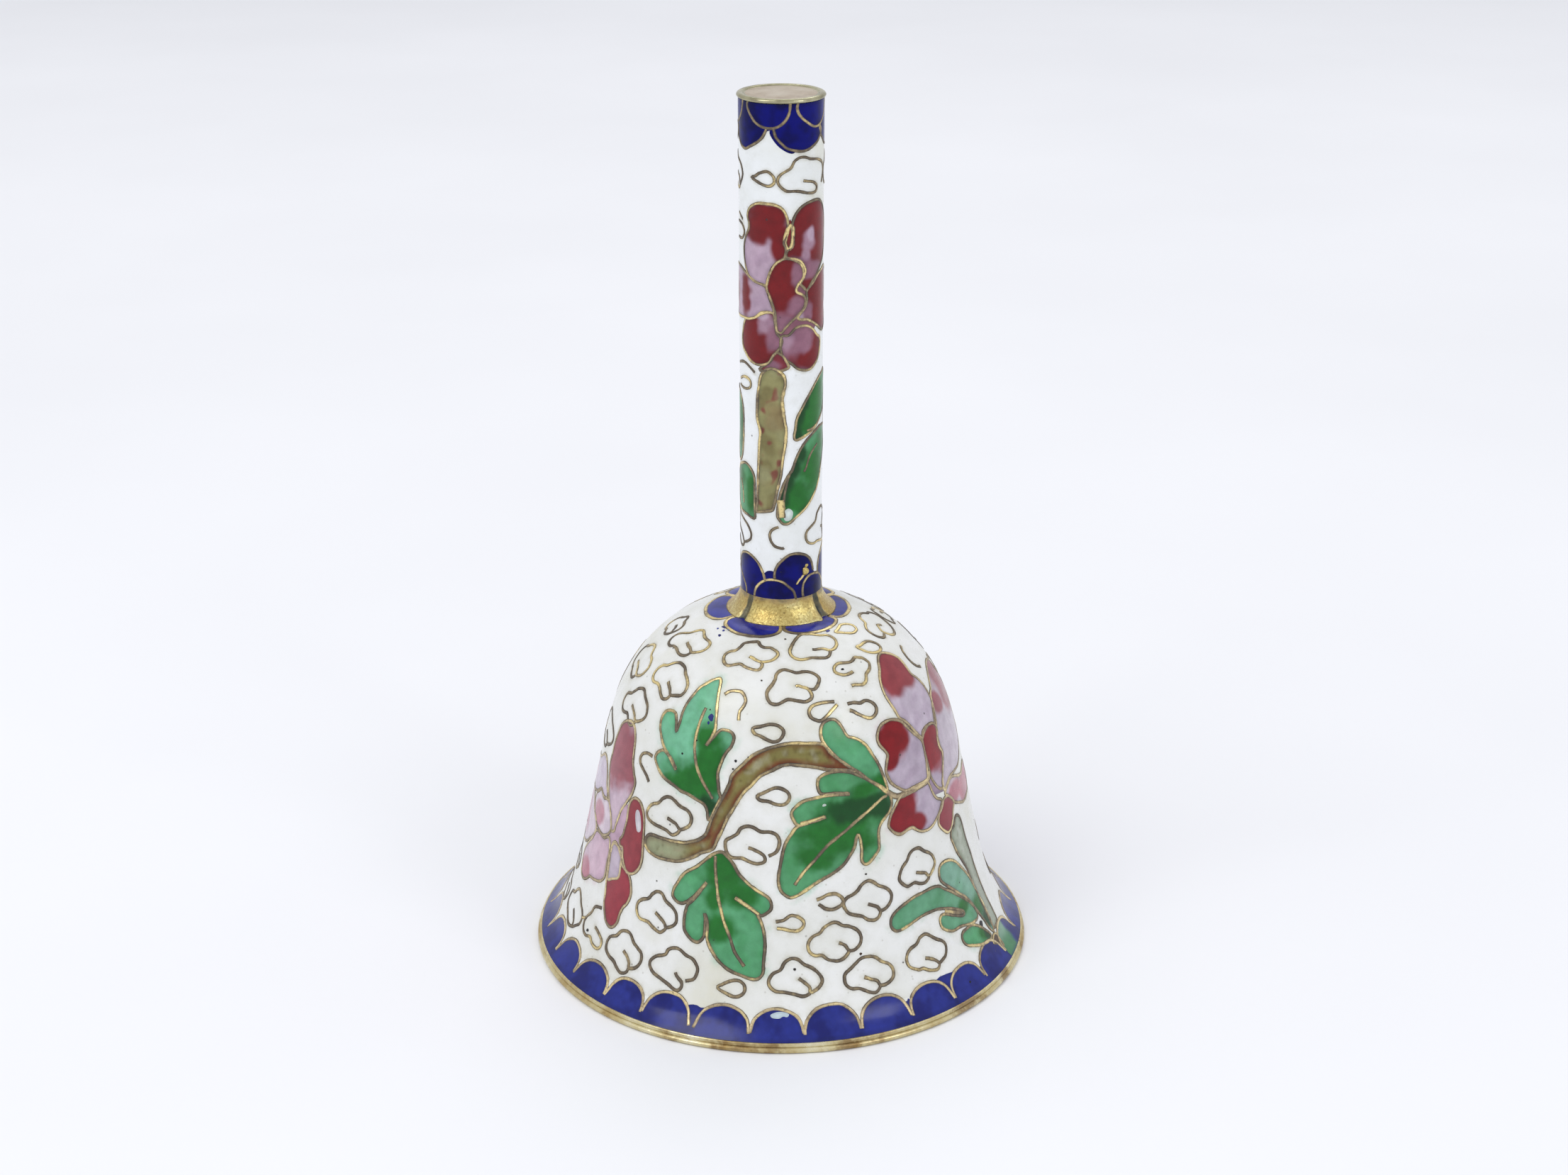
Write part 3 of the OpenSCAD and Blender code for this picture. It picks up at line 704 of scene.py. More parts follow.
  [(-88.8,49.6),(-87.2,49.9),(-85.9,50.2),(-85.5,50.8),(-83.9,50.1),(-83.9,49.3),(-85.5,48.6),(-88,48.5),(-89.6,47.9),(-91.7,47.8),(-93.4,48.4),(-95.4,48.9),(-95.8,49.8),(-94.2,50.5),(-91.7,50.7),(-90.1,51.2),(-87.6,51.4),(-85.5,50.8)],
]
DROPS = [
  [(43.1,9.8),(46.3,9.6),(50.5,9.3),(54.6,9.1),(58.3,9.3),(61.2,9.7),(62.4,10.2),(61.2,10.8),(58.3,11),(55,11),(51.3,10.7),(47.2,10.2)],
  [(47.6,13),(50.5,13),(54.2,12.9),(57.9,13),(60.3,13.4),(62,14),(61.6,14.6),(59.1,14.9),(55.8,14.8),(52.9,14.5),(50,13.9)],
  [(-10.3,22.1),(-7.7,21.8),(-4.4,21.5),(-1.5,21.6),(0.6,22.1),(0.8,22.7),(-0.7,23.4),(-2.7,23.6),(-5.2,23.3),(-7.7,22.9),(-9.5,22.7)],
  [(-16.1,54.3),(-14.7,53.9),(-12.6,53.4),(-10.9,53.3),(-9.4,53.8),(-9.3,54.6),(-10.5,55.2),(-12,55.3),(-13.8,55),(-15.7,54.6)],
  [(-7.4,30.2),(-5.2,29.7),(-2.7,29.2),(-0.7,29.1),(1.4,29.4),(2.6,30),(2.2,30.7),(0.6,31.2),(-1.5,31.2),(-4,30.8),(-6.6,30.7)],
]
CURLS = [
  [(21.6,19.2),(18.3,19.1),(14.6,19.2),(12.1,19.5),(10.7,20.1),(11.1,20.8),(12.9,21.2),(15,21.3),(17.5,20.8),(19.9,20.2),(22.6,19.6)],
  [(26.8,19.8),(29.5,19.8),(32.3,20),(34.8,19.9),(36.9,20.2),(38.4,20.9),(37.7,21.7),(35.2,22.1),(32.8,21.9),(29.9,21.3),(28.2,20.8),(27,20.6)],
  [(-23.9,18.4),(-22.1,17.9),(-20,17.7),(-17.5,17.7),(-15.5,18.2),(-14.4,18.9),(-15.1,19.7),(-16.1,20.3),(-15.9,21.3)],
  [(-46.8,28.3),(-49.3,28.2),(-51.4,28.5),(-52.3,29.1),(-51.8,29.8),(-49.7,30.4),(-47.7,30.9),(-46.3,31.5)],
  [(10,43.2),(11.7,43),(13.3,42.7),(15.4,42.7),(17,43.2),(17.5,43.8),(16.6,44.3),(14.6,44.6),(12.5,44.4),(10.5,43.8)],
  [(-1.5,45.8),(0.6,45.6),(2.6,45),(4.7,45.2),(6.1,45.8),(6.1,46.4),(4.7,46.9),(2.6,46.9),(0.6,46.7),(-1.1,46.6)],
  [(-67.2,53.6),(-65.2,53.2)],
]
LEAVES = {
  "leaf1": [(-30,16.6),(-28.4,16.5),(-27.4,17.1),(-26.7,18.3),(-25.6,20.2),(-24.6,21.6),(-24,22.7),(-24.9,23.8),(-26.3,25),(-24.3,23.9),(-22.1,22.8),(-19.6,22.7),(-17.5,23),(-16.6,23.6),(-17.3,24.5),(-18.8,25.4),(-20,26.6),(-20.7,27.8),(-20.4,29),(-19.8,30.2),(-19.1,30.8),(-19.8,31.5),(-20.9,32.7),(-21.7,33.5),(-22.5,33.9),(-23.2,32.8),(-24.2,32.1),(-26.6,31.7),(-29.9,31.3),(-32.8,31.1),(-34.8,30.8),(-38.5,30.4),(-41.4,29.9),(-43.9,29.1),(-45.3,28.3),(-44.8,27.6),(-43.3,27.1),(-41.8,27),(-39.8,27.4),(-37.9,28.1),(-35.9,28.8),(-38.1,27.8),(-40.6,27.1),(-42.9,26.4),(-44.9,25.5),(-46.6,24.6),(-47.4,23.7),(-47.3,22.8),(-46.3,22.3),(-44.5,22.1),(-42.2,22.2),(-40.6,23),(-39.1,24.3),(-38.9,23),(-39.1,21.8),(-38.6,20.4),(-37.5,19.4),(-36.1,18.3),(-34,17.6),(-32.1,17)],
  "leaf2": [(-19.8,37.9),(-22.1,38.7),(-24.9,39.9),(-27.8,40.8),(-29.5,41.6),(-31,42.7),(-31.9,43.6),(-31.9,44.4),(-30.5,44.9),(-28.9,45),(-27.4,44.7),(-26.2,44.2),(-24.1,43.2),(-21.6,41.6),(-23.7,43.2),(-25.4,44.3),(-27,45.2),(-27.5,46.6),(-27.2,48),(-25.8,48.9),(-23.7,49.4),(-22.1,49.1),(-21.2,48.3),(-21.2,46.6),(-21.6,45.6),(-20.7,46.4),(-20.4,48.2),(-19.6,49.4),(-17.5,50.8),(-14.2,52),(-10.9,52.6),(-7.2,53),(-5.6,52.8),(-4.7,52.1),(-4.6,50.8),(-4.3,49),(-4.6,47.3),(-5.4,45.9),(-6.8,44.8),(-9.3,44),(-13.2,43),(-9.7,43.9),(-6,45),(-4.6,44.9),(-2.9,44.1),(-3.3,43),(-5.2,42.3),(-7.7,41.7),(-10.1,40.9),(-12.2,40.1),(-13.8,39),(-15.5,38.2),(-17.5,37.6)],
  "leaf3": [(2.2,42.7),(-0,41.9),(-0.7,40.8),(-0.5,39.2),(0.2,37.7),(1.4,35.9),(3,34.8),(5.1,33.9),(8.8,33.5),(13.8,33),(9.2,33.4),(5.1,33.8),(3.5,32.9),(3.2,32.1),(4.7,31.4),(7.2,30.8),(10,30.6),(12.9,30.4),(16.6,30.4),(22,30.6),(16.6,30.2),(12.9,30.1),(11.7,29.5),(11.6,28.7),(12.3,28.1),(14.4,27.7),(17.9,27.6),(21.2,27.8),(24.1,28.2),(28.2,29.2),(31.5,30.2),(34,31.2),(35.8,31.8),(36.2,32.6),(36,33.3),(34.8,34),(33.6,34.4),(31.5,35.1),(30.5,35.9),(30.2,37.1),(29.9,38.2),(28.2,39),(26.2,39.6),(24.9,39.6),(24.1,39),(24.3,37.7),(24.1,36.4),(23.5,35.8),(22.7,36.4),(22.1,37.3),(20,38.4),(18.3,39.2),(15.8,39.9),(12.5,40.6),(9.2,41.3),(6.3,42.1),(3.9,42.6)],
  "leaf4": [(18.6,21.3),(16.9,21.4),(15.1,21.8),(14.1,22.7),(14.4,23.7),(16.1,24.7),(18.7,25.9),(21.2,26.8),(24,27.7),(26.6,28.5),(29.9,29.7),(33.2,30.6),(35.2,31.2),(34.9,30.2),(34.2,29.1),(33.2,27.8),(31.9,26.6),(30.3,25.4),(28.2,24.5),(26.2,24),(24.1,23.7),(23.1,23.2),(22.1,22.3),(20.4,21.5)],
  "leaf5a": [(34.2,49.1),(32.3,48.9),(31.4,48.2),(31.7,47.3),(33.2,46.7),(36.5,46.1),(39.8,45.7),(43.9,45.6),(48,45.6),(50.5,45.9),(52.9,46.7),(56.2,47.7),(59.5,48.9),(62,49.9),(64,50.9),(65.7,52),(66.1,52.9),(64.9,53.3),(62,53.2),(58.7,52.7),(55.8,52.4),(52.9,52.3),(50.5,51.8),(48.8,51.1),(48.4,50.2),(49.4,49.6),(51.3,49.8),(54.6,50.6),(58.7,51.4),(59.7,51.1),(57,50.2),(52.9,49.3),(48.8,48.6),(44.7,48.4),(40.6,48.5),(37.7,48.8)],
  "leaf5b": [(68.6,56.6),(66.5,55.1),(64,54),(61.2,53.3),(58.3,53.2),(56.2,53.3),(55.3,54),(56.2,54.9),(59.1,55.7),(62.8,56.4),(66.1,56.8)],
  "leaf5c": [(51.5,44.6),(51.9,43.8),(53.3,43.4),(55.8,43.4),(58.3,43.8),(61.2,44.7),(63.6,45.8),(66.1,47.1),(67.8,48.3),(69.4,49.9),(70.6,51.3),(71.7,52.8),(72.3,54.4),(71.9,55.9),(70.8,56.6),(69.6,55.8),(68.6,54.4),(66.9,52.7),(64.9,51.1),(62.4,49.7),(59.5,48.5),(57,47.5),(54.2,46.4),(51.9,45.4)],
}
VEINS = [
  [(-29.9,20.5),(-30.5,21.6),(-30.9,23.2),(-30.7,24.6),(-30.1,25.9),(-28.6,27.5),(-26.6,28.9),(-24.1,30),(-21.7,31.2)],
  [(-19.6,38.2),(-19.2,40.1),(-18.4,42.1),(-17.5,44),(-16.5,45.4),(-15.3,46.8),(-13.8,48.3),(-12.2,49.9),(-9.7,51.5)],
  [(34.8,31.9),(32.4,32.1),(28.2,33),(24.1,33.9),(19.5,35),(15.4,36.1),(12.5,37.1),(9.6,38.3),(6.3,39.7),(3.8,41.2)],
]
BRANCH = [(-44.2,39.2),(-43.9,38.3),(-42.2,37.8),(-38.5,37.7),(-34,37.6),(-30,37.4),(-27.8,37.1),(-25.4,36.6),(-23.3,35.8),(-22.1,34.4),(-21.2,33.2),(-19.6,31.8),(-17.7,30.2),(-16.5,29),(-15.9,28),(-13.4,26.8),(-9.7,25.4),(-6,24.6),(-1.9,24.1),(3,23.8),(9.2,23.9),(12.9,24),(15,24.3),(16.6,25.2),(19.5,26.3),(22,27.1),(24.5,28),(22,27.7),(19.5,27.5),(14.6,27.2),(9.6,26.7),(5.1,26.4),(0.6,26.4),(-3.5,27.1),(-6.8,27.8),(-9.3,28.9),(-11.4,29.7),(-12.8,30.6),(-14.2,31.6),(-15.9,32.7),(-16.9,33.7),(-17.9,34.9),(-19.2,36.1),(-20.2,37.2),(-21.7,37.7),(-24.1,38.2),(-26.6,38.9),(-29.1,39.5),(-31.9,40),(-34,40.1),(-36.5,40.2),(-39.8,40.2),(-42.6,39.9)]
STEM2 = [(63.6,40.1),(61.6,40.2),(60.5,41.1),(61.4,42.3),(62.8,43.7),(64.5,44.9),(66.5,46.3),(68.2,47.8),(69.4,49.6),(70.4,51.3),(71,53),(71.5,54.7),(71.9,56.3),(73.5,56.5),(76.2,56.2),(76.5,54.5),(75.7,52.5),(74.8,50.3),(73.7,48.2),(72.5,46.1),(71.1,44.4),(70.1,42.7),(69.4,40.8),(68.2,39.6),(65.7,39.2)]
PETALS = [
  ("P1", [(47,23.3),(46.3,22.3),(45.5,21.1),(44.9,19.9),(45.7,18.7),(47.2,17.8),(49.6,17),(52.1,16.1),(55,15.4),(58.3,15.2),(61.6,15.6),(64.5,16.3),(66.4,17.3),(66.3,18.5),(66,19.6),(68,20.5),(69.4,21.8),(69.6,23),(69,23.9),(67.3,24.8),(65.7,25.8),(64.7,26.4),(62.8,26.1),(59.5,26),(56.6,26.5),(55,27),(52.9,26.1),(50.9,24.9),(48.8,23.9)], [(57,17.7,4.6,3.4)]),
  ("P2", [(35.2,25.6),(34.9,24.8),(36.1,23.9),(38.1,23.3),(41,23.1),(43.9,23.2),(46.8,23.7),(48.8,24.7),(51.3,25.9),(54,27),(54.6,28),(54.2,29.4),(53.8,30.8),(53.3,31.9),(51.3,32.1),(48.4,32.1),(45.1,32.1),(42.2,32.1),(39.8,31.5),(37.7,30.8),(36.5,30.1),(35.8,29),(36.5,28),(37.5,27.1),(36.7,26.4)], [(40.6,25.4,3,3),(38.1,27.7,1.6,1.2)]),
  ("P3", [(34.2,35.6),(35.2,34.6),(37.3,33.6),(40.2,33.1),(43.1,33),(46.8,33),(50.5,33),(52.9,33),(54.4,34),(56,35),(58.9,35.8),(57.3,36.6),(55,37.4),(52.5,38),(49.6,38.2),(46.8,38),(44.7,37.5),(43.1,37),(41,37),(38.5,37.2),(36.1,36.8),(34.6,36.1)], [(39.3,35.1,3.2,3.2),(45.5,36.6,1.8,1.5)]),
  ("P4", [(54.6,30.1),(54.4,28.7),(54.5,27.7),(55.2,26.7),(56.6,26.2),(59.5,26),(62.8,26.1),(64.7,26.5),(65.3,27.3),(63.7,28.3),(63.7,29.4),(64.7,30.3),(63.7,31.4),(62.2,32.5),(61,33.7),(60.8,34.4),(58.7,34.2),(56.6,33.3),(55,32.1)], [(59.1,28.5,3,3.4)]),
  ("P5", [(65.3,27),(66.3,26.5),(68.2,24.9),(70.6,23.3),(73.9,22.7),(78,21.6),(84.2,20.8),(90.8,21.1),(94.1,22.8),(95.3,25.4),(94.1,28),(91.6,30.1),(87.5,31.8),(81.7,33.2),(76.8,34),(71.5,34),(67.3,33.9),(64,34.4),(61.6,34.9),(61.2,33.9),(62.4,32.6),(64,31.4),(65.1,30.3),(64.3,29.4),(64.3,28.3)], [(90,24,4.5,4.5),(73.1,24.9,2,1.6)]),
  ("P6", [(55.2,38.2),(56.2,37.3),(58.3,36.7),(60.1,35.9),(62.8,35.9),(65.3,36.6),(66.5,37.4),(64.7,38.2),(63.6,39.1),(62,39.9),(59.5,40.2),(57.3,39.6),(55.8,38.9)], [(59.5,38.3,3.2,3)]),
  ("P7", [(61.6,35.4),(64.3,34.6),(67.3,34.2),(70.6,34.5),(74.3,35.2),(78.5,35.6),(83.4,35.2),(87.5,35.6),(89.2,36.8),(87.9,38.2),(84.2,39),(78.9,39),(74.7,38.9),(71,38.3),(68.8,37.9),(66.7,37.4),(65.3,36.6),(62.8,35.8)], [(81.7,37.7,4,2.5),(68.6,36.1,2.4,1.5)]),
  ("L1", [(-70.3,31.4),(-70.5,29.9),(-69.7,28.2),(-68.7,27.1),(-66.6,26.4),(-64.1,26),(-61.7,25.9),(-59.2,26.4),(-57.5,27.5),(-56.5,28.9),(-55.7,30.2),(-54.2,31.4),(-52.6,32.5),(-53,33.7),(-54.2,34.7),(-55.9,35.8),(-57.5,36.8),(-58.4,38),(-59.1,39.2),(-59.5,40),(-61.2,40.3),(-62.1,39.4),(-63.7,38.2),(-65.6,37.4),(-66.6,36.8),(-68.2,35.6),(-69.9,34),(-70.7,32.7)], [(-64.1,30.1,5.2,4.6),(-57.5,31.8,2.4,1.4)]),
  ("L3", [(-53.8,37.7),(-53.9,36.4),(-53.6,35.2),(-52.2,34.5),(-50.5,34.3),(-48.5,34.6),(-46.6,35.6),(-45.6,37),(-45.1,38.7),(-44.7,40.4),(-44.7,41.8),(-45.4,42.8),(-47.5,43.7),(-49.9,43.9),(-51.6,43.3),(-52.9,42.3),(-53.6,41.3),(-55.1,41.2),(-55.7,40.5),(-54.7,39.9),(-54.2,38.9)], [(-49.7,39.2,5,6)]),
  ("L4", [(-52.8,43.4),(-51,43.7),(-48.9,44.1),(-47.5,45.2),(-47,46.4),(-47.9,47.7),(-49.3,48.5),(-50.1,49.6),(-50.3,50.6),(-51.4,51.4),(-53,51.8),(-55.1,51.5),(-56.7,50.6),(-58,49.6),(-58.6,48.2),(-59.2,46.6),(-59.6,45.1),(-59.6,43.7),(-59.2,42.7),(-59,41.6),(-57.3,41.2),(-55.1,41.8),(-53.4,42.7)], [(-53,47.5,3.6,4.4),(-50.5,44.4,1.6,1.6)]),
  ("L5", [(-60.2,42.7),(-60.4,44.7),(-60.5,46.4),(-61.7,47.2),(-64.1,47.8),(-67.4,48.2),(-69.9,48.4),(-71.5,49),(-73.6,49.6),(-76.1,49.8),(-78.9,49.4),(-80.6,48.5),(-81.1,47.5),(-79.8,46.3),(-76.5,44.9),(-73.6,43.7),(-71.5,42.3),(-68.7,42),(-64.9,42),(-61.7,41.4)], [(-75.7,48.7,2.8,1.8)]),
  ("L6", [(-61.7,40.4),(-63.1,41.2),(-65.8,41.8),(-69.5,41.8),(-72.4,41.6),(-75.7,41.1),(-78.1,40.4),(-79.6,39.4),(-78.7,38.4),(-76.5,37.7),(-74.4,37.1),(-72.4,37.4),(-70.3,37.6),(-67.8,37.2),(-65.6,37.4),(-63.7,38.3),(-62.3,39.4)], [(-72.8,39.9,2.2,1.6)]),
  ("L7", [(-68.7,36.4),(-70.3,35.6),(-71.5,34.5),(-73.6,33.4),(-76.1,32.9),(-78.9,33),(-81,33.5),(-83.9,34.3),(-88,34.9),(-92.9,35.4),(-97.5,36.3),(-98.7,37.7),(-96.6,39),(-92.5,39.6),(-88,39.2),(-83.9,38.9),(-79.8,38.3),(-76.9,37.6),(-74.4,37),(-71.9,37.3),(-69.9,37.4),(-68,37.1)], [(-93.8,37.3,3.2,2.2)]),
  ("L8", [(-89.6,47),(-85.5,46.5),(-81,45.8),(-76.9,44.6),(-74,43.5),(-72.4,42.3),(-74.4,41.1),(-78.1,40.6),(-81.4,39.6),(-85.5,39),(-90.5,39.4),(-94.6,40.6),(-96.6,42.3),(-96.2,44.4),(-93.8,46.1)], [(-91.7,43,3.4,3)]),
]
BITS = [
  ("white", [(-49.9,35.7),(-48.7,35.6),(-47.5,36.4),(-46.7,37.7),(-47.2,38.2),(-48.3,38.2),(-49.3,37.4),(-50.1,36.4)]),
  ("lilac", [(-59.2,42),(-57.5,41.4),(-53.8,42),(-53.4,43.2),(-53.2,44.6),(-53.8,45.4),(-56.3,45.9),(-58.6,46.4),(-59,45.1),(-59.1,43.5)]),
]
H_ARCS_TOP = [
  [(-49,109.5),(-51,109),(-47,108.2),(-37,107.2),(-26,106.7),(-14,106.6),(-3,106.9),(6,107.6),(11,108.5),(12,109.5)],
  [(23,109.5),(22,108.7),(28,107.8),(37,107.1),(48,106.6),(59,106.6),(71,107.2),(78,108),(81,108.8),(82,109.5)],
]
H_ARCS_TOP_LOW = [
  [(-79,106.4),(-76,105.2),(-67,104.2),(-56,103.9),(-47,104.2),(-35,104.8),(-26,105.5),(-20,106.5)],
  [(-10,106.5),(-7,105.6),(-0,104.9),(8,104.3),(20,104),(31,103.9),(42,104.1),(56,104.7),(63,105.3),(66,106),(62,106.6)],
]
H_ARCS_BOT = [
  [(-80,51),(-79,52.2),(-73,53.1),(-65,53.5),(-54,53.7),(-43,53.4),(-33,52.7),(-27,51.7),(-23,50.6)],
  [(-9,51),(-9,51.8),(-5,52.8),(3,53.6),(12,54.1),(23,54.2),(35,53.9),(44,53.2),(49,52.3),(51,51.5)],
]
H_ARCS_BOT_LOW = [
  [(-41,48.3),(-39,49.2),(-33,50),(-24,50.6),(-13,50.8),(1,50.6),(10,50),(18,49.2),(21,48.2)],
  [(32,48.3),(31,49.3),(33,50.2),(42,50.9),(54,51),(65,50.7),(74,50),(81,49.2),(83,48.3)],
]
H_DROP = [(-43,100.7),(-37,100.9),(-30,101.3),(-20,101.6),(-13,101.3),(-9,100.8),(-10,100.2),(-16,99.9),(-24,100),(-33,100.3)]
H_CLOUDS = [
  [(31,100.4),(38,100.3),(48,100.1),(55,99.6),(54,99),(48,98.8),(38,98.9),(27,99.2),(18,99.3),(8,99.3),(1,99.7),(-4,100.3),(-4,100.9),(1,101.4),(13,102),(18,102.8),(25,103.2),(33,103.2),(42,102.9),(54,102.7),(63,102.4),(71,102),(74,101.3),(73,100.7),(70,100),(69,99.7)],
  [(-86,100.7),(-81,100.5),(-75,100.2),(-73,99.4),(-67,100),(-63,100.8),(-67,101.7),(-75,102.2),(-84,102.5),(-90,103),(-98,103.1),(-105,102.7),(-111,102),(-119,101.7),(-122,100.8),(-119,99.8),(-109,99.3),(-98,99.3),(-86,99),(-77,98.9),(-73,99.3)],
  [(-90,56.7),(-81,56.3),(-71,55.8),(-65,55),(-60,55),(-49,55.6),(-47,56.4),(-54,57.3),(-64,57.8),(-75,58.1),(-86,58.7),(-96,58.7),(-103,58),(-113,57.5),(-117,56.5),(-111,55.5),(-100,55),(-88,55),(-79,54.3),(-69,54.3),(-64,54.9)],
  [(74,56.7),(82,56.3),(88,55.7),(95,56),(101,57),(95,58.2),(86,58.7),(78,59.2),(69,59.2),(60,58.7),(56,57.8),(46,57.3),(38,56.8),(37,56),(42,55.3),(52,55),(61,55.1),(74,54.8),(84,54.7),(89,55.2),(88,55.6)],
]
H_CURLS = [
  [(-4,57.8),(-11,57.5),(-16,56.8),(-15,56),(-9,55.3),(1,55),(4,55.1)],
  [(-79,77.6),(-64,78),(-52,77.8),(-39,77.1)],
  [(-73,75.7),(-64,76.1),(-54,76.2),(-47,75.9),(-47,75.2),(-54,74.8),(-64,74.7),(-75,74.9)],
  [(-77,96),(-64,95.4)],
  [(-79,95),(-66,94.8),(-59,94),(-64,93.2),(-71,93),(-79,93)],
]
H_PETALS = [
  ("F1", [(9,95.3),(7,94.2),(4,93.2),(7,92.5),(4,91.4),(-6,90.8),(-14,89.8),(-18,88.8),(-20,88),(-27,88.1),(-37,88.3),(-47,88.7),(-52,89.2),(-56,90),(-59,91.3),(-59,92.5),(-55,93.5),(-49,94.4),(-48,95.2),(-51,95.9),(-50,96.6),(-45,97.2),(-35,97.7),(-24,97.8),(-13,97.8),(-3,97.5),(4,96.9),(8,96.1)], [(-24,96,2.6,2.6),(1,93,1.2,2.6),(-37,95,1.6,1.4)]),
  ("F4", [(15,95.4),(18,96.2),(23,96.9),(31,97.5),(42,97.8),(56,97.9),(65,97.6),(74,96.8),(82,95.5),(84,93.7),(80,91.7),(73,90.5),(63,89.7),(54,88.8),(46,88.2),(37,87.3),(32,87.7),(27,88.2),(32,88.9),(34,89.8),(28,90.8),(20,91.2),(8,91.4),(8,92.2),(15,92.7),(16,93.7),(15,94.7)], [(31,96.2,2,1.6),(57,97.3,2.2,1.2),(50,91,2.6,1.4),(21,93.2,1,2.2)]),
  ("F2", [(5,91.3),(-6,90.8),(-14,89.8),(-18,88.8),(-20,87.8),(-16,86.8),(-11,85.7),(-8,84.7),(-7,83.5),(-6,82.6),(-0,82.3),(5,82.8),(13,83.6),(23,84.4),(32,85.2),(35,86.1),(31,86.7),(21,87.3),(23,88.1),(31,88.9),(31,89.8),(27,90.6),(18,91.1)], [(4,88.7,2.8,3.9),(20,86.5,1.4,1.6)]),
  ("F3", [(-98,89.3),(-86,89.7),(-71,89.6),(-58,89.2),(-47,88.7),(-37,88.3),(-26,88.1),(-21,87.8),(-17,86.8),(-13,85.8),(-10,84.8),(-18,84.8),(-28,84.6),(-37,84),(-50,83.6),(-64,83.6),(-79,83.5),(-92,83.8),(-101,85),(-105,86.7),(-103,88.2)], [(-59,86.5,0.9,3.2),(-86,86.5,1,2.6)]),
  ("F5", [(37,87.2),(48,88),(57,88.7),(69,89.3),(82,89.5),(93,88.8),(99,87.3),(99,85.3),(93,83.3),(82,82),(71,81.8),(57,82.7),(46,83.3),(37,83.7),(27,83.8),(23,84.2),(34,85.2),(37,86.1)], [(56,85.3,2.4,2.6)]),
  ("F6", [(-56,83.5),(-62,82.5),(-66,81.3),(-66,80.5),(-63,79.8),(-56,79.2),(-47,78.5),(-35,78.2),(-24,78.3),(-16,78.7),(-12,79.4),(-6,80),(-0,80.7),(1,81.5),(-5,82.2),(-7,83),(-9,84),(-11,84.7),(-18,84.8),(-28,84.5),(-37,84),(-49,83.6)], [(-43,81.2,2.8,3)]),
  ("F7", [(1,81.9),(10,82),(20,82.8),(29,83),(38,82.9),(48,82.3),(57,81.5),(65,81),(66,80.2),(64,79.3),(57,78.3),(46,77.6),(35,77.5),(23,77.8),(14,78.5),(6,79),(1,79.7),(-1,80.7)], [(38,78.7,2.8,1.5),(57,80,1.5,2)]),
  ("F8", [(-11,79.5),(-6,79.9),(1,79.6),(6,79),(10,78.2),(8,77.9),(-3,77.6),(-14,77.9),(-24,77.5),(-31,77.6),(-25,78.1),(-18,78.5),(-13,79)], [(-13,78.4,1.8,1.2)]),
]
H_GOLDLOOP = [(11,95.2),(7,94.2),(5,93.2),(8,92.5),(12,92.6),(15,93.6),(16,94.8),(14,95.2)]
H_STEM = [(-14,77.9),(-24,77.5),(-29,76.7),(-32,75.3),(-34,74.2),(-35,72.7),(-34,71.3),(-30,70),(-31,68.7),(-32,67),(-33,65.3),(-34,64.1),(-34,62.7),(-35,61),(-36,59.5),(-32,59.5),(-26,59.6),(-18,59.8),(-12,60),(-10,60.5),(-7,61.7),(-4,63),(-1,64.3),(1,65.7),(3,67),(6,68.7),(7,70.3),(5,71.3),(3,72.7),(1,74),(3,75),(6,76),(4,77),(-3,77.6)]
H_LEAVES = [
  [(84,76.7),(74,76.5),(65,76.2),(54,75.5),(42,74.3),(31,73),(23,71.7),(20,70.3),(18,69.4),(20,68.9),(27,69),(38,69.3),(50,69.8),(61,70.5),(74,71.4),(86,72.7),(93,74.2),(93,75.7)],
  [(95,69.3),(84,69.7),(74,69.8),(65,69.8),(54,69.5),(40,68.8),(29,67.8),(21,66.5),(16,65.2),(8,64.2),(2,63),(-2,61.7),(-5,60.3),(-5,59.3),(-2,58.7),(4,58.2),(12,58.3),(21,59),(33,59.8),(46,60.8),(57,62),(67,63.5),(74,65.2),(84,66.7),(93,68)],
  [(-86,64),(-79,64.7),(-67,65.1),(-58,65.3),(-49,65),(-42,64.3),(-40,63.5),(-40,61.8),(-40,60.2),(-39,58.7),(-45,58.5),(-54,58.7),(-66,58.8),(-75,59),(-84,59.7),(-90,61.3),(-91,62.8)],
  [(-96,74.2),(-86,74.3),(-75,73.7),(-67,72.7),(-64,71.2),(-64,69.3),(-66,67.7),(-69,66),(-79,65.2),(-86,66),(-92,67.7),(-98,69.7),(-100,72)],
]
H_LEAFVEINS = [
  [(59,67.8),(50,67.2),(42,66.3),(37,65.2),(33,64.7)],
  [(38,69.8),(48,69.9),(56,70.2)],
  [(-73,63),(-67,61.7),(-64,60)],
]
H_WHITESPOT = [(10,60.2),(16,59.8),(16,59.2),(13,58.7),(6,58.6),(3,59.2),(4,59.8)]

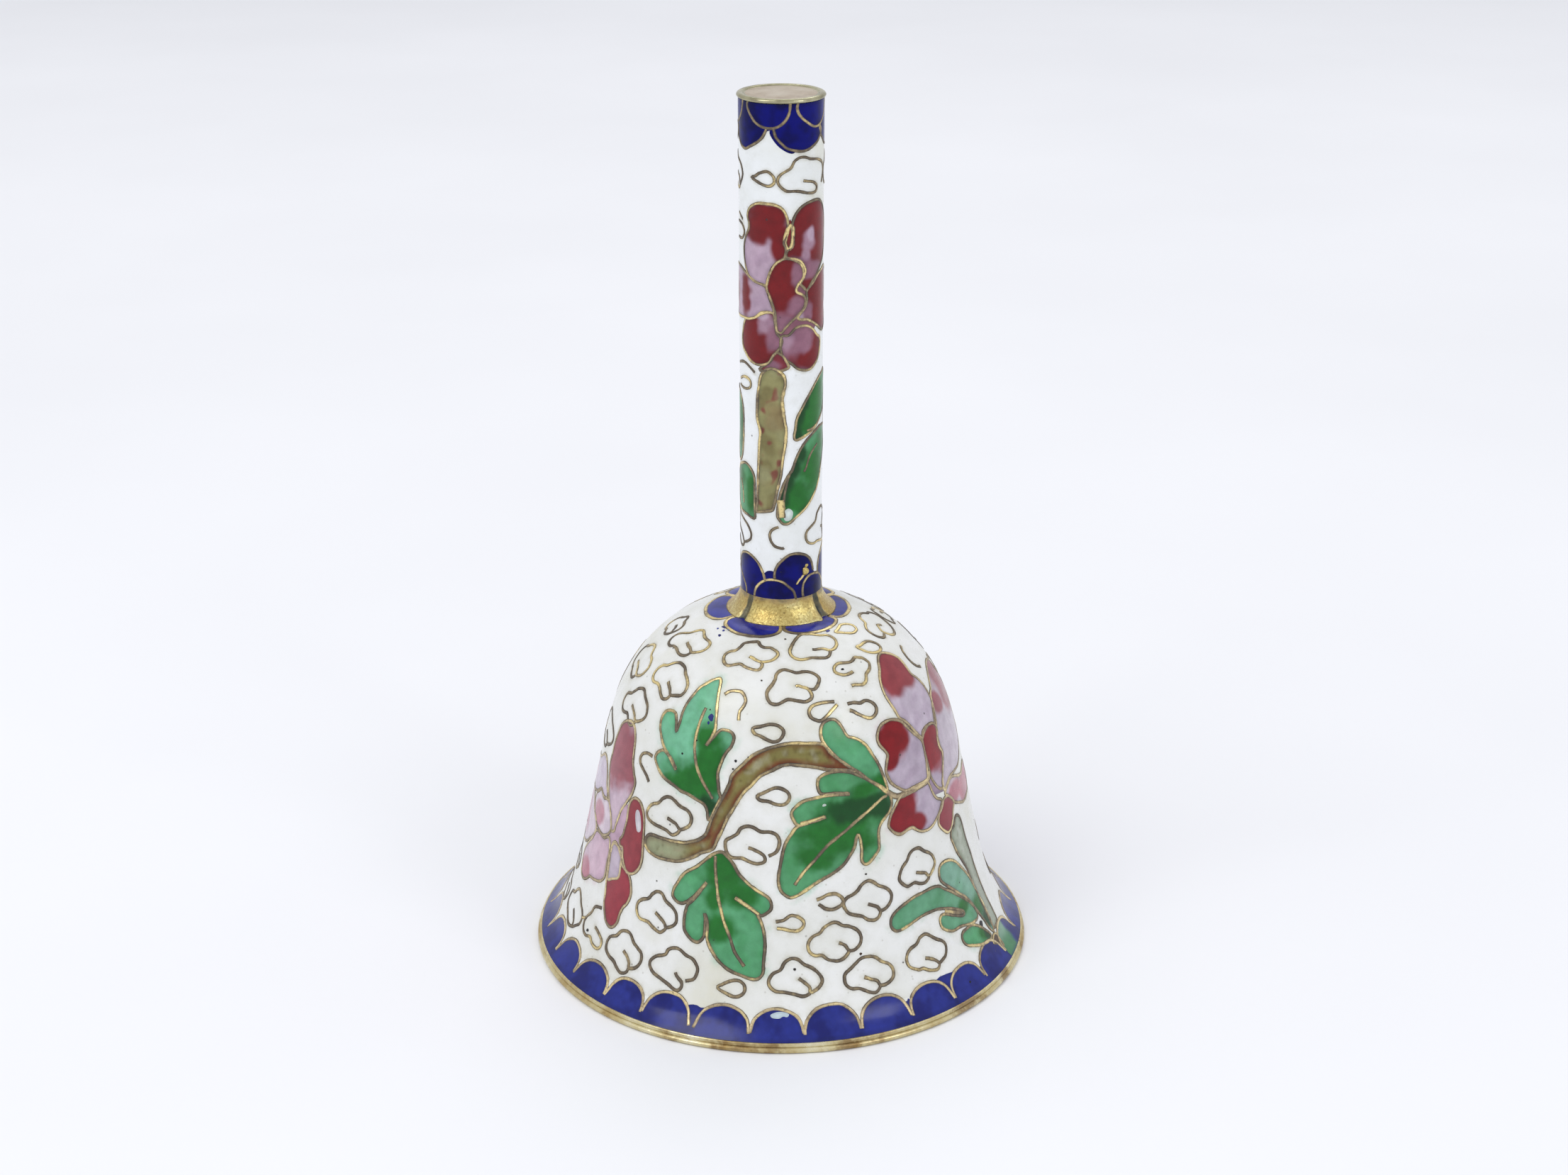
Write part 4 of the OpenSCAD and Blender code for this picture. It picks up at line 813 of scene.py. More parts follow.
CLOUDS_MORE = [
  [(84,13),(81,12.6),(79,12.9),(77,13.5),(79.5,14.6),(84,15),(89,14.6),(93,13.7),(96.5,12.6),(95,11.4),(91,11),(88,10.4),(83,10),(78,10.2),(75,11),(71,11.3),(67.5,12),(68,13.2),(71.5,14),(75.5,13.8)],
  [(76.5,16.4),(74,16.8),(72.5,17.8),(72.8,18.8),(74.5,19.6),(77,20)],
]
LEAF_BASE = {"leaf1": lin(114,182,146), "leaf4": lin(90,162,116), "leaf3": lin(82,150,103), "leaf5c": lin(122,170,147), "leaf5a": lin(98,158,122)}
LEAF_SPOTS = {
  "leaf1": [(-24.5,27.5,2.8,4.6,0),(-31,29.8,3.8,2.4,0),(-27,24.0,1.6,2.0,0),(-22.8,32.2,1.6,1.5,1)],
  "leaf2": [(-16.8,40.4,3.0,2.6,0),(-11.5,42.9,2.4,1.6,0),(-17.2,47.0,2.2,1.9,0),(-19.0,43.6,1.3,1.6,0),(-17.6,38.6,1.5,1.2,0)],
  "leaf3": [(21.5,33.4,4.8,2.6,0),(14.5,35.8,4.0,2.8,0),(9.5,38.0,2.4,1.5,0),(24.5,36.8,2.0,1.6,0),(29.5,32.6,3.4,1.9,1),(21.5,32.6,3.6,1.7,1),(27,30.4,2.2,1.0,0)],
  "leaf4": [(33.5,30.2,1.8,1.2,0)],
  "leaf5a": [(60,50.4,1.6,1.0,0)],
  "leaf5b": [(66,55.4,1.6,1.2,0),(67.5,56,1.0,0.8,1)],
  "leaf5c": [(68,52,1.8,1.8,0),(70.5,54.6,1.4,1.6,1)],
}
H_LEAF_SPOTS = [
  [(40,71.8,2.4,2.6,0),(62,73.8,2.4,2.6,0),(21,69.4,0.8,1.3,1),(28,72.4,0.7,1.6,1),(36,73.6,0.6,1.3,1)],
  [(22,61.5,2.2,2.6,0),(52,65.0,2.6,2.6,0),(78,68,2,1.4,0),(1,61.6,0.9,2.2,1),(9,63.8,0.9,1.6,1),(19,65.4,0.9,1.5,1),(30,67,0.8,1.4,1)],
  [(-46,61.8,1.0,2.8,0),(-75,63.5,1.8,1.4,0)],
  [(-70,70,1.0,3.4,0)],
]
FILLS = [
  ([(49,30),(52,27),(56,27),(64,26),(66,28),(66,33),(62,35),(56,34.6),(51,34.4),(47,33.4),(46,32.2)], lin(150,130,150)),
  ([(-60,37),(-57,36),(-53,35.5),(-53,41.4),(-54,43),(-59,42.5),(-62,41)], lin(190,160,178)),
  ([(-74,36.6),(-70,37),(-66,37.2),(-62,40.4),(-60,41.6),(-62,42.2),(-72,42.4),(-76,41)], lin(196,176,192)),
]
H_FILLS = [
  ([(3,91.6),(10,91.8),(22,91.6),(30,90.4),(33,88.8),(33,87.4),(38,86.6),(36,84.6),(26,83.6),(14,83),(0,82),(-8,83.4),(-16,86),(-19,88.4),(-10,90.8)], lin(128,84,98)),
  ([(-12,84.6),(-4,83.6),(8,84),(20,86),(34,87),(46,86.6),(55,84.4),(53,82.6),(36,80),(10,79.4),(-6,79.8),(-14,79.2),(-22,80),(-20,83)], lin(132,86,100)),
  ([(6,92.4),(12,92.2),(18,93.5),(17,95.2),(12,96),(7,95.2),(4,93.6)], lin(120,30,34)),
  ([(-24,78.4),(-12,79.4),(4,79.4),(12,78.2),(6,77.7),(-14,77.6),(-28,77.8)], lin(118,40,48)),
]
LIP_CELL = [(67.6,57.5),(69.2,57.0),(70.6,56.9),(71.5,57.3),(71.4,58.7),(70.7,58.9),(69.6,58.2)]
SIDE_CLOUDS = [
  [(99,46.4),(95.5,45.9),(93,46.2),(92.2,47.4),(93.4,48.4),(96.5,48.8),(99,49.2),(102,48.8),(103.2,47.7),(102.4,46.8),(100,46.9),(98.6,47.6)],
  [(97,51.6),(93.8,51.3),(92.2,52.2),(92.8,53.5),(95.8,54.1),(98.8,54.3),(101.4,53.6),(101.8,52.4),(100,51.7),(98.2,52.3)],
  [(268,45.5),(264.5,45.1),(262,45.6),(261.4,46.8),(263,47.8),(266,48.2),(269,47.9),(271,46.9),(270.4,45.9),(268.4,46.2)],
  [(97,21.5),(94,21.3),(92.5,22.2),(93.2,23.4),(96,24),(99,24),(101,23.2),(101,22.1),(99,21.6),(97.6,22.2)],
  [(104,26.5),(100.5,26.1),(98.4,27),(99,28.4),(102,29),(105.6,28.8),(107,27.6),(106,26.7),(104.4,27.2)],
]
H_BLUE_BITS = [
  [(-28,50.4),(-24,51.6),(-17,52.0),(-9,51.8),(-7,50.6),(-16,50.2)],
  [(-12,106.8),(-15.5,106.1),(-10,105.2),(-3,104.5),(5,104.0),(11,103.75),(16,103.7),(19,103.95),(12,104.5),(2,105.2),(-5,106.0)],
]
NOTCHES = [
  ([(51.2,49.35),(54.8,50.15),(58.8,51.0)],0.62),
  ([(-27.2,44.9),(-24.6,43.6),(-21.9,41.9)],0.5),
  ([(-13.0,43.05),(-9.5,43.95),(-6.2,44.9)],0.5),
  ([(5.8,33.6),(9.2,33.3),(13.4,32.95)],0.5),
  ([(13.2,30.2),(16.8,30.3),(21.6,30.5)],0.46),
  ([(-42.6,26.85),(-39.6,27.4),(-36.2,28.6)],0.46),
]
SPECKS = [
  (-50,9.3,0.7,0.35,lin(40,44,120)),(-47,9.8,0.35,0.3,lin(60,70,150)),(-46,10.7,0.45,0.35,lin(34,38,110)),(-53,9.9,0.3,0.25,lin(80,92,170)),
  (6,7.6,1.0,0.35,lin(40,42,96)),(38.5,9.25,0.6,0.4,lin(52,60,140)),(-44,9.4,0.3,0.2,lin(90,110,180)),
  (-26.7,21.5,0.7,0.9,lin(16,34,120)),(-27.2,22.2,0.3,0.4,lin(20,44,130)),
  (-15.1,26.2,0.34,0.3,lin(24,22,24)),(30.9,15.3,0.4,0.3,lin(16,14,14)),(-62,54.2,0.5,0.45,lin(22,20,22)),(3.5,51.7,0.35,0.3,lin(50,44,40)),
  (21.4,50.7,0.35,0.3,lin(80,60,48)),(51.3,59.0,0.34,0.3,lin(20,18,28)),(66.3,54.3,0.8,0.7,lin(20,20,20)),(-15.8,27.2,0.26,0.22,lin(60,56,52)),
  (-11,25.6,0.22,0.2,lin(60,56,52)),(13.3,31.5,0.5,0.35,lin(210,222,214)),(-28,20.6,0.2,0.2,lin(20,24,20)),(-30.2,24.6,0.25,0.25,lin(14,18,14)),
  (-34.6,26.6,0.3,0.25,lin(14,18,14)),(3,9.6,0.3,0.2,lin(70,60,50)),(-9,16.0,0.25,0.2,lin(70,60,50)),(25,40.9,0.3,0.25,lin(66,58,50)),
  (150,30,0.3,0.3,lin(40,36,34)),(175,20,0.3,0.25,lin(40,36,34)),(205,44,0.35,0.3,lin(40,36,34)),(228,52,0.3,0.3,lin(40,50,120)),
  (120,14,0.3,0.25,lin(40,36,34)),(246,36,0.3,0.3,lin(40,36,34)),(138,55,0.5,0.3,lin(40,44,120)),
]


# ---------------------------------------------------------------- colours
WHITE = lin(229, 230, 226)
COBALT = lin(30, 42, 130)
COBALT_DEEP = lin(16, 24, 104)
TEAL = lin(88, 160, 113)
GREEN = lin(26, 106, 34)
DARK_GREEN = lin(10, 68, 24)
RED = lin(126, 14, 22)
DUSTY = lin(150, 76, 86)
LILAC = lin(180, 166, 182)
PINK = lin(200, 182, 194)
OLIVE = lin(126, 118, 66)
BROWN = lin(112, 58, 30)
STEMGREY = lin(158, 166, 148)
H_RED = lin(114, 12, 18)
H_LILAC = lin(180, 156, 174)
MAUVE = lin(142, 98, 116)


def lerp(a, b, t):
    t = min(max(t, 0.0), 1.0)
    return (a[0] + (b[0] - a[0]) * t, a[1] + (b[1] - a[1]) * t, a[2] + (b[2] - a[2]) * t)


def soft(e0, e1, x):
    t = min(max((x - e0) / (e1 - e0), 0.0), 1.0)
    return t * t * (3 - 2 * t)


def nz(th, s, f, seed=0.0, surf=Bell):
    p = surf.point(th, s) * f
    return noise.noise(p + Vector((seed, seed * 0.7, -seed)))


def petal_colour(base, red, blobs, surf, seed):
    """Blobs of colour, one over another, that ran together a little in the kiln."""
    def f(th, s, away):
        r = surf.radius(s)
        e = 0.34 * nz(th, s, 0.42 if surf is Bell else 0.9, seed, surf) + 0.06 * nz(th, s, 1.5, seed, surf)
        c = base
        for b in blobs:
            d = math.hypot(math.radians(th - b[0]) * r / b[2], (s - b[1]) / b[3])
            c = lerp(b[4] if len(b) > 4 else red, c, soft(0.74, 1.2, d + e) if surf is Bell else soft(0.6, 1.3, d + e))
        return lerp(c, (c[0] * 0.88, c[1] * 0.85, c[2] * 0.88), soft(-0.2, 0.5, nz(th, s, 0.7, seed + 3, surf)))
    return f


def leaf_colour(spots, surf, seed, base=TEAL):
    """kind 0 is clear green, kind 1 the darkest green by the stalk."""
    def f(th, s, away):
        r = surf.radius(s)
        c = lerp(base, (base[0] * 0.8, base[1] * 0.92, base[2] * 0.82), soft(-0.1, 0.4, nz(th, s, 0.5, seed + 1, surf)))
        e = 0.3 * nz(th, s, 0.6, seed, surf) + 0.1 * nz(th, s, 1.9, seed, surf)
        for b in spots:
            d = math.hypot(math.radians(th - b[0]) * r / b[2], (s - b[1]) / b[3])
            c = lerp(c, DARK_GREEN if b[4] else GREEN, 1 - soft(0.55, 1.3, d + e))
        return lerp(c, (c[0] * 0.86, c[1] * 0.9, c[2] * 0.86), soft(-0.2, 0.5, nz(th, s, 0.9, seed + 9, surf)))
    return f


def branch_colour(surf, seed, edge=BROWN, base=OLIVE, amount=1.0, side=None):
    def f(th, s, away):
        v = nz(th, s, 0.35, seed, surf)
        rim = 1 - soft(0.18, 0.95 + 0.5 * v, away)
        front = th if th < 120 else (th - 180) / 0.86
        k = amount * (0.35 + 0.65 * soft(-31, -22, front))
        ground = lerp(lin(150, 156, 122), base, soft(-33, -26, front)) if base is OLIVE else base
        c = lerp(ground, edge, k * min(1.0, rim * (0.8 + 1.3 * v)))
        c = lerp(c, lerp(base, WHITE, 0.16), soft(0.1, 0.6, nz(th, s, 0.9, seed + 8, surf)) * (1 - rim))
        return lerp(c, (c[0] * 0.7, c[1] * 0.66, c[2] * 0.6), soft(0.25, 0.55, nz(th, s, 1.7, seed + 5, surf)))
    return f


def stem_colour(surf, seed):
    """Olive with specks of red that fell in it."""
    def f(th, s, away):
        c = lerp(lin(142, 138, 92), lin(120, 112, 70), soft(-0.2, 0.4, nz(th, s, 0.6, seed, surf)))
        c = lerp(c, lin(122, 52, 48), soft(0.26, 0.5, nz(th, s, 0.75, seed + 3, surf)) * 0.85)
        c = lerp(c, lin(128, 84, 60), soft(0.1, 0.6, nz(th, s, 0.4, seed + 6, surf)) * 0.35)
        return lerp(c, lin(160, 160, 122), soft(0.0, 0.7, nz(th, s, 0.6, seed + 7, surf)) * 0.4)
    return f


def blue_colour(surf, seed, a=COBALT, b=COBALT_DEEP):
    def f(th, s, away):
        return lerp(a, b, soft(-0.25, 0.45, nz(th, s, 0.35, seed, surf) + 0.4 * nz(th, s, 1.4, seed + 4, surf)))
    return f


# ---------------------------------------------------------------- ground coats
def skin(s0, s1, step):
    n = max(2, int((s1 - s0) / step))
    return [s0 + (s1 - s0) * i / n for i in range(n + 1)]


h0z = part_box("handle_lower_border_enamel")[0].z / MM
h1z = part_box("handle_upper_border_enamel")[1].z / MM


def near(points):
    kd = kdtree.KDTree(max(1, len(points)))
    for i, p in enumerate(points):
        kd.insert(p, i)
    kd.balance()
    return lambda p: kd.find(p)[2] if points else 99.0


def make_grounds():
    wires = near(WIRE_AT["Bell"])
    green = near(EDGE_AT["green"])
    pink = near(EDGE_AT["pink"])

    def stain(p, w):
        if not w:
            return (0, 0, 0)
        d = wires(p)
        # channel 0: darker along the wires; channels 1 and 2: green and pink bled from the cells
        a = 0.85 * (1 - soft(0.20, 0.55, d)) * (0.7 + 0.8 * noise.noise(p * 0.5)) + 0.3 * (1 - soft(0.4, 1.3, d)) * soft(-0.5, 0.4, noise.noise(p * 0.12))
        g = (1 - soft(0.25, 1.25, green(p))) * soft(-0.25, 0.3, noise.noise(p * 0.25 + Vector((9, 0, 0))))
        k = (1 - soft(0.25, 1.0, pink(p))) * soft(0.0, 0.4, noise.noise(p * 0.35 + Vector((0, 9, 0))))
        return (min(max(a, 0), 1), g, k)

    outer = [at(s) for s in skin(6.9, S_LIP, 0.29)]
    dips = [0.06 * soft(57.5, 58.2, s) for s in skin(6.9, S_LIP, 0.29)]
    sec = [(r - nr * d, z - n_z * d, 1.0) for (r, z, nr, n_z), d in zip(outer, dips)]
    inner = [at(s) for s in skin(6.9, S_LIP, 4.5)]
    sec += [(r - nr * 0.3, z - n_z * 0.3, 0.0) for r, z, nr, n_z in reversed(inner)]
    g = lathe("ground_enamel", sec, M_WHITE, "bell", 448, wave=0.03, colour=stain)
    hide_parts("body_enamel")

    hw = near(WIRE_AT["Handle"])

    def hstain(p, w):
        if not w:
            return (0, 0, 0)
        # darker along the handle wires
        a = (1 - soft(0.20, 0.58, hw(p))) * (0.6 + 0.8 * noise.noise(p * 0.5))
        return (min(max(a, 0), 1), 0, 0)

    zz = skin(h0z, h1z, 0.3)
    sec = [(HANDLE_R - 0.3, z, 0.0) for z in skin(h0z, h1z, 6)] + [(HANDLE_R, z, 1.0) for z in reversed(zz)]
    g = lathe("handle_ground_enamel", sec, M_WHITE_H, "bell", 144, wave=0.02, colour=hstain)
    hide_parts("handle_enamel")


# ---------------------------------------------------------------- turning a motif to the back
def turned(pts, k=0.86, off=180.0):
    return [(off + k * th, s) for th, s in pts]


def both(pts):
    return (pts, turned(pts))


# ---------------------------------------------------------------- lip border
spans = [(-94.2, -83.4), (-81.8, -71.5), (-70.0, -59.6), (-58.2, -46.4), (-45.6, -34.5), (-34.0, -22.0), (-20.0, -8.0),
         (-6.5, 4.5), (6.0, 18.0), (19.3, 31.0), (32.3, 44.0), (45.3, 56.5), (58.0, 69.5), (70.6, 82.0)]
left = 83.2
count = 14
pitch = (360 - 94.2 - left) / count
for i in range(count):
    a = left + i * pitch + rng.uniform(-0.4, 0.4)
    spans.append((a, a + pitch - rng.uniform(0.5, 1.6)))
border = Buf()
lip_wires = Buf()
nsp = len(spans)
GAPS = {5: 57.0, 12: 57.6, 3: 58.3, 9: 57.5, 10: 56.55, 7: 58.6, 11: 58.2, 1: 58.4, 16: 57.9, 20: 57.4, 24: 58.3}
arches = []
for i, (a, b) in enumerate(spans):
    pa = spans[i - 1][1] - (360 if i == 0 else 0)
    nb = spans[(i + 1) % nsp][0] + (360 if i == nsp - 1 else 0)
    ml, mr = (pa + a) / 2, (b + nb) / 2
    gl, gr = (a - pa) / 2, (nb - b) / 2
    # where the wires meet they run down side by side
    gl = gl if gl > 0.85 else 0.3
    gr = gr if gr > 0.85 else 0.3
    a, b = ml + gl, mr - gr
    top = 56.4 + rng.uniform(-0.2, 0.25)
    vl = 59.35 + rng.uniform(-0.15, 0.2)
    vr = 59.35 + rng.uniform(-0.15, 0.2)
    lean = rng.uniform(-0.5, 0.5)
    arch = []
    for j in range(25):
        u = math.pi * j / 24
        x, y = -math.cos(u), math.sin(u) ** 0.82
        ft = vl if x < 0 else vr
        arch.append(((a + b) / 2 + x * (b - a) / 2 + lean * y * (1 - abs(x)), ft - (ft - top) * y))
    arches.append((ml, mr, a, b, vl, vr, arch))


def densify(pts, step, radius):
    fine = []
    for p, q in zip(pts, pts[1:] + pts[:1]):
        n = max(1, int(math.hypot(math.radians(q[0] - p[0]) * radius, q[1] - p[1]) / step))
        for j in range(n):
            fine.append((p[0] + (q[0] - p[0]) * j / n, p[1] + (q[1] - p[1]) * j / n))
    return fine


for i, (ml, mr, a, b, vl, vr, arch) in enumerate(arches):
    lo = S_LIP + 0.02
    outline = [(ml - 0.12, lo), (ml - 0.12, vl + 0.12), (ml, vl + 0.02)] + arch + [(mr, vr + 0.02), (mr + 0.12, vr + 0.12), (mr + 0.12, lo)]
    blue = blue_colour(Bell, 2.0)
    if i == 13:
        # the stalk's green ran into this arch
        blue = lambda th, s, away, blue=blue: lerp(lerp(lin(124, 160, 138), lin(74, 130, 92), soft(57.5, 59.2, s)), blue(th, s, away),
                                                   max(soft(76.4, 78.6, th + 1.6 * nz(th, s, 0.6, 4.0, Bell)), soft(60.2, 60.9, s)))
    cell(border, densify(outline, 0.36, 30), Bell, blue, smooth=False, lift=0.022)
    foot_l = (ml + (0.16 if a - ml < 0.8 else 0.6) + rng.uniform(-0.05, 0.08), vl + rng.uniform(0.1, 0.3))
    foot_r = (mr - (0.16 if mr - b < 0.8 else 0.6) - rng.uniform(-0.05, 0.08), vr + rng.uniform(0.1, 0.3))
    wire(lip_wires, [foot_l] + arch[1:-1:2] + [foot_r], Bell, w=0.46, gold_and_glint=0.4)
    if i in GAPS:
        # cobalt that ran up between two arches
        nxt = arches[(i + 1) % nsp]
        sh = 360 if i == nsp - 1 else 0
        lim = GAPS[i]
        rs = [p for p in arch[12:] if p[1] > lim]
        ls = [(p[0] + sh, p[1]) for p in nxt[6][:13] if p[1] > lim]
        if rs and ls:
            gap = rs + [(mr, vr + 0.25)] + ls
            x0, x1 = gap[-1][0], gap[0][0]
            crest = [(x0 + (x1 - x0) * u, lim + 0.1 + rng.uniform(-0.2, 0.16)) for u in (0.12, 0.3, 0.5, 0.7, 0.88)]
            cell(border, densify(gap + crest, 0.3, 30), Bell, blue_colour(Bell, 2.0), smooth=False, grid=0.25, lift=0.016)
# painted highlight: a bluish-white patch on the cobalt that stands for a glint
painted_glint = [(-2.6, 57.2), (-1.8, 56.95), (-0.6, 56.8), (0.8, 56.85), (1.9, 57.1), (1.4, 57.45), (0.5, 57.35), (-0.4, 57.6), (-1.5, 57.6), (-2.3, 57.5)]
glint_and_specks = Buf()
cell(glint_and_specks, painted_glint, Bell, lambda th, s, away: lin(206, 224, 232), grid=0.2, lift=0.03)

# ---------------------------------------------------------------- rosette under the collar
rosette = Buf()
ros_wires = Buf()
edge_s = {0: 9.5, 1: 8.9, 2: 8.6, 3: 8.9, 4: 9.2, 5: 9.6}
for i in range(6):
    c = -29.0 + 60 * i
    e = edge_s[i]
    a, b = c - 28.2, c + 28.2
    arc = []
    for j in range(25):
        u = math.pi * j / 24
        x, y = -math.cos(u), math.sin(u) ** 0.8
        arc.append((c + x * 28.6, 7.3 + (e - 7.3) * y))
    cell(rosette, [(a, 6.2)] + arc + [(b, 6.2)], Bell, blue_colour(Bell, 6.0, lin(44, 50, 146), lin(24, 28, 118)), grid=0.3, smooth=False)
    wire(ros_wires, [(a, 6.8)] + arc[::2] + [(b, 6.8)], Bell, w=0.52, gold_and_glint=0.3)

# ---------------------------------------------------------------- clouds
cloud_wires = Buf()
for p in CLOUDS:
    for q in both(p):
        wire(cloud_wires, q, Bell, gold_and_glint=0.12)
for q in SIDE_CLOUDS:
    wire(cloud_wires, q, Bell, gold_and_glint=0.12)
for q in CLOUDS_MORE:
    wire(cloud_wires, q, Bell, gold_and_glint=0.12)
for p in CURLS:
    for q in both(p):
        wire(cloud_wires, q, Bell, w=0.44, gold_and_glint=0.3)
for p in DROPS:
    for q in both(p):
        wire(cloud_wires, q, Bell, w=0.42, closed=True, gold_and_glint=0.2)

# ---------------------------------------------------------------- leaves, stems
leaves = Buf()
leaf_wires = Buf()
stems = Buf()
for key, outline in LEAVES.items():
    for i, q in enumerate(both(outline)):
        spots = LEAF_SPOTS.get(key, [])
        if i:
            spots = [(180 + 0.86 * b[0],) + b[1:] for b in spots]
        cell(leaves, q, Bell, leaf_colour(spots, Bell, 11.0 + len(key), base=LEAF_BASE.get(key, TEAL)), grid=0.23, bleed="green")
        wire(leaf_wires, q, Bell, closed=True, gold_and_glint=0.34)
for q in both(LIP_CELL):
    cell(stems, q, Bell, branch_colour(Bell, 9.0, edge=lin(84, 64, 44), base=lin(124, 104, 74)), grid=0.2)
    wire(leaf_wires, q, Bell, w=0.4, closed=True, gold_and_glint=0.7)
for p in VEINS:
    for q in both(p):
        wire(leaf_wires, q, Bell, w=0.44, gold_and_glint=0.3)
for q in both(BRANCH):
    cell(stems, q, Bell, branch_colour(Bell, 1.0))
    wire(leaf_wires, q, Bell, w=0.44, closed=True, gold_and_glint=0.3)
for q in both(STEM2):
    cell(stems, q, Bell, branch_colour(Bell, 4.0, edge=lin(110, 122, 88), base=STEMGREY, amount=0.6))
    wire(leaf_wires, q, Bell, w=0.42, closed=True, gold_and_glint=0.3)

# ---------------------------------------------------------------- flowers
flowers = Buf()
flower_wires = Buf()
TINT = {"P1": (lin(190, 177, 192), lin(142, 58, 64)), "P2": (LILAC, RED), "P3": (LILAC, lin(132, 20, 30)), "P4": (LILAC, lin(138, 28, 38)),
        "P5": (lin(190, 178, 190), DUSTY), "P6": (lin(170, 104, 112), lin(142, 50, 60)), "P7": (lin(196, 178, 188), lin(180, 112, 124)),
        "L1": (lin(196, 174, 188), lin(150, 80, 90)), "L3": (lin(176, 112, 120), lin(144, 54, 62)), "L4": (lin(166, 76, 86), lin(150, 48, 60)),
        "L5": (lin(202, 172, 188), lin(180, 104, 122)), "L6": (lin(212, 198, 208), lin(184, 128, 142)),
        "L7": (lin(202, 188, 204), lin(176, 116, 132)), "L8": (lin(206, 190, 202), lin(186, 136, 152))}
for outline, shade in FILLS:
    for q in both(outline):
        cell(flowers, densify(q, 0.35, 26), Bell, petal_colour(shade, shade, [], Bell, 1.0), smooth=False, grid=0.2, lift=0.006)
for nme, outline, blobs in PETALS:
    if nme == "P3":
        outline = [(th, min(s, 32.5) if s <= 33.15 else s) for th, s in outline]
    for i, q in enumerate(both(outline)):
        bl = [(180 + 0.86 * b[0],) + b[1:] for b in blobs] if i else blobs
        base, red = TINT[nme]
        cell(flowers, q, Bell, petal_colour(base, red, bl, Bell, 3.0 + ord(nme[1])), grid=0.2, bleed="pink")
        wire(flower_wires, q, Bell, closed=True, gold_and_glint=0.34)
for q in both([(35.0, 31.4), (38.4, 32.4), (43, 32.5), (48, 32.4), (53, 32.2), (54.6, 31.2)]):
    wire(flower_wires, q, Bell, w=0.8, gold_and_glint=0.25)
for kind, outline in BITS:
    for q in both(outline):
        base = lin(222, 218, 222) if kind == "white" else lin(190, 176, 190)
        cell(flowers, q, Bell, petal_colour(base, base, [], Bell, 5.0), lift=0.024, grid=0.24)
        if kind == "lilac":
            wire(flower_wires, q, Bell, w=0.44, closed=True, gold_and_glint=0.34)

# specks of colour that fell where they shouldn't, and pinholes
for th, s, w, h, shade in SPECKS:
    rr = at(s)[0]
    blob = [(th + math.degrees(w / 2 * math.cos(u) * (1 + 0.22 * math.sin(3 * u + th)) / rr), s + h / 2 * math.sin(u) * (1 + 0.2 * math.cos(2 * u + th)))
            for u in [2 * math.pi * j / 10 for j in range(10)]]
    cell(glint_and_specks, blob, Bell, lambda a, b, c, shade=shade: shade, grid=0.12, lift=0.034)

# ---------------------------------------------------------------- handle
hand_cells = Buf()
hand_blue = Buf()
hand_wires = Buf()


def sector(arc, lo, hi, z_end, z_side):
    """A blue cell between two angles that ends in one arc."""
    pts = [(lo, z_end), (hi, z_end), (hi, z_side)]
    pts += [p for p in reversed(arc) if abs(p[1] - z_end) > abs(z_side - z_end)]
    pts += [(lo, z_side)]
    return densify(pts, 0.33, HANDLE_R)


def cut(arcs):
    """Each arc with the angles half way to its neighbours."""
    mids = sorted(((a[0][0] + a[-1][0]) / 2, k) for k, a in enumerate(arcs))
    out = []
    for i, (c, k) in enumerate(mids):
        lo = (mids[i - 1][0] - (360 if i == 0 else 0) + c) / 2
        hi = (mids[(i + 1) % len(mids)][0] + (360 if i == len(mids) - 1 else 0) + c) / 2
        out.append((arcs[k], lo - 0.6, hi + 0.6))
    return out


def ring_of(arcs, n=5):
    """The two arcs seen at the front, then the rest of the ring at the same pitch."""
    out = [list(arcs[0]), list(arcs[1])]
    c0 = (arcs[0][0][0] + arcs[0][-1][0]) / 2
    c1 = (arcs[1][0][0] + arcs[1][-1][0]) / 2
    pitch = (360 - (c1 - c0)) / (n - 1)
    for i in range(1, n - 1):
        src = arcs[i % 2]
        cs = c0 if i % 2 == 0 else c1
        shift = c1 + pitch * i - cs
        out.append([(th + shift, z) for th, z in src])
    return out


HB = blue_colour(Handle, 8.0, lin(4, 9, 108), lin(1, 3, 72))
for arc, lo, hi in cut(ring_of(H_ARCS_TOP_LOW)):
    cell(hand_blue, sector(catmull(arc, False, 0.33, Handle), lo, hi, h1z, 106.5), Handle, HB, smooth=False, grid=0.26)
    wire(hand_wires, arc, Handle, w=0.36, gold_and_glint=0.3)
for arc in ring_of(H_ARCS_TOP):
    wire(hand_wires, arc, Handle, w=0.37, gold_and_glint=0.25)
for arc, lo, hi in cut(ring_of(H_ARCS_BOT)):
    cell(hand_blue, sector(catmull(arc, False, 0.33, Handle), lo, hi, h0z, 50.9), Handle, HB, smooth=False, grid=0.26)
    wire(hand_wires, arc, Handle, w=0.36, gold_and_glint=0.3)
for arc in ring_of(H_ARCS_BOT_LOW):
    wire(hand_wires, arc, Handle, w=0.36, gold_and_glint=0.3)


def hboth(pts):
    return (pts, turned(pts, 0.85))


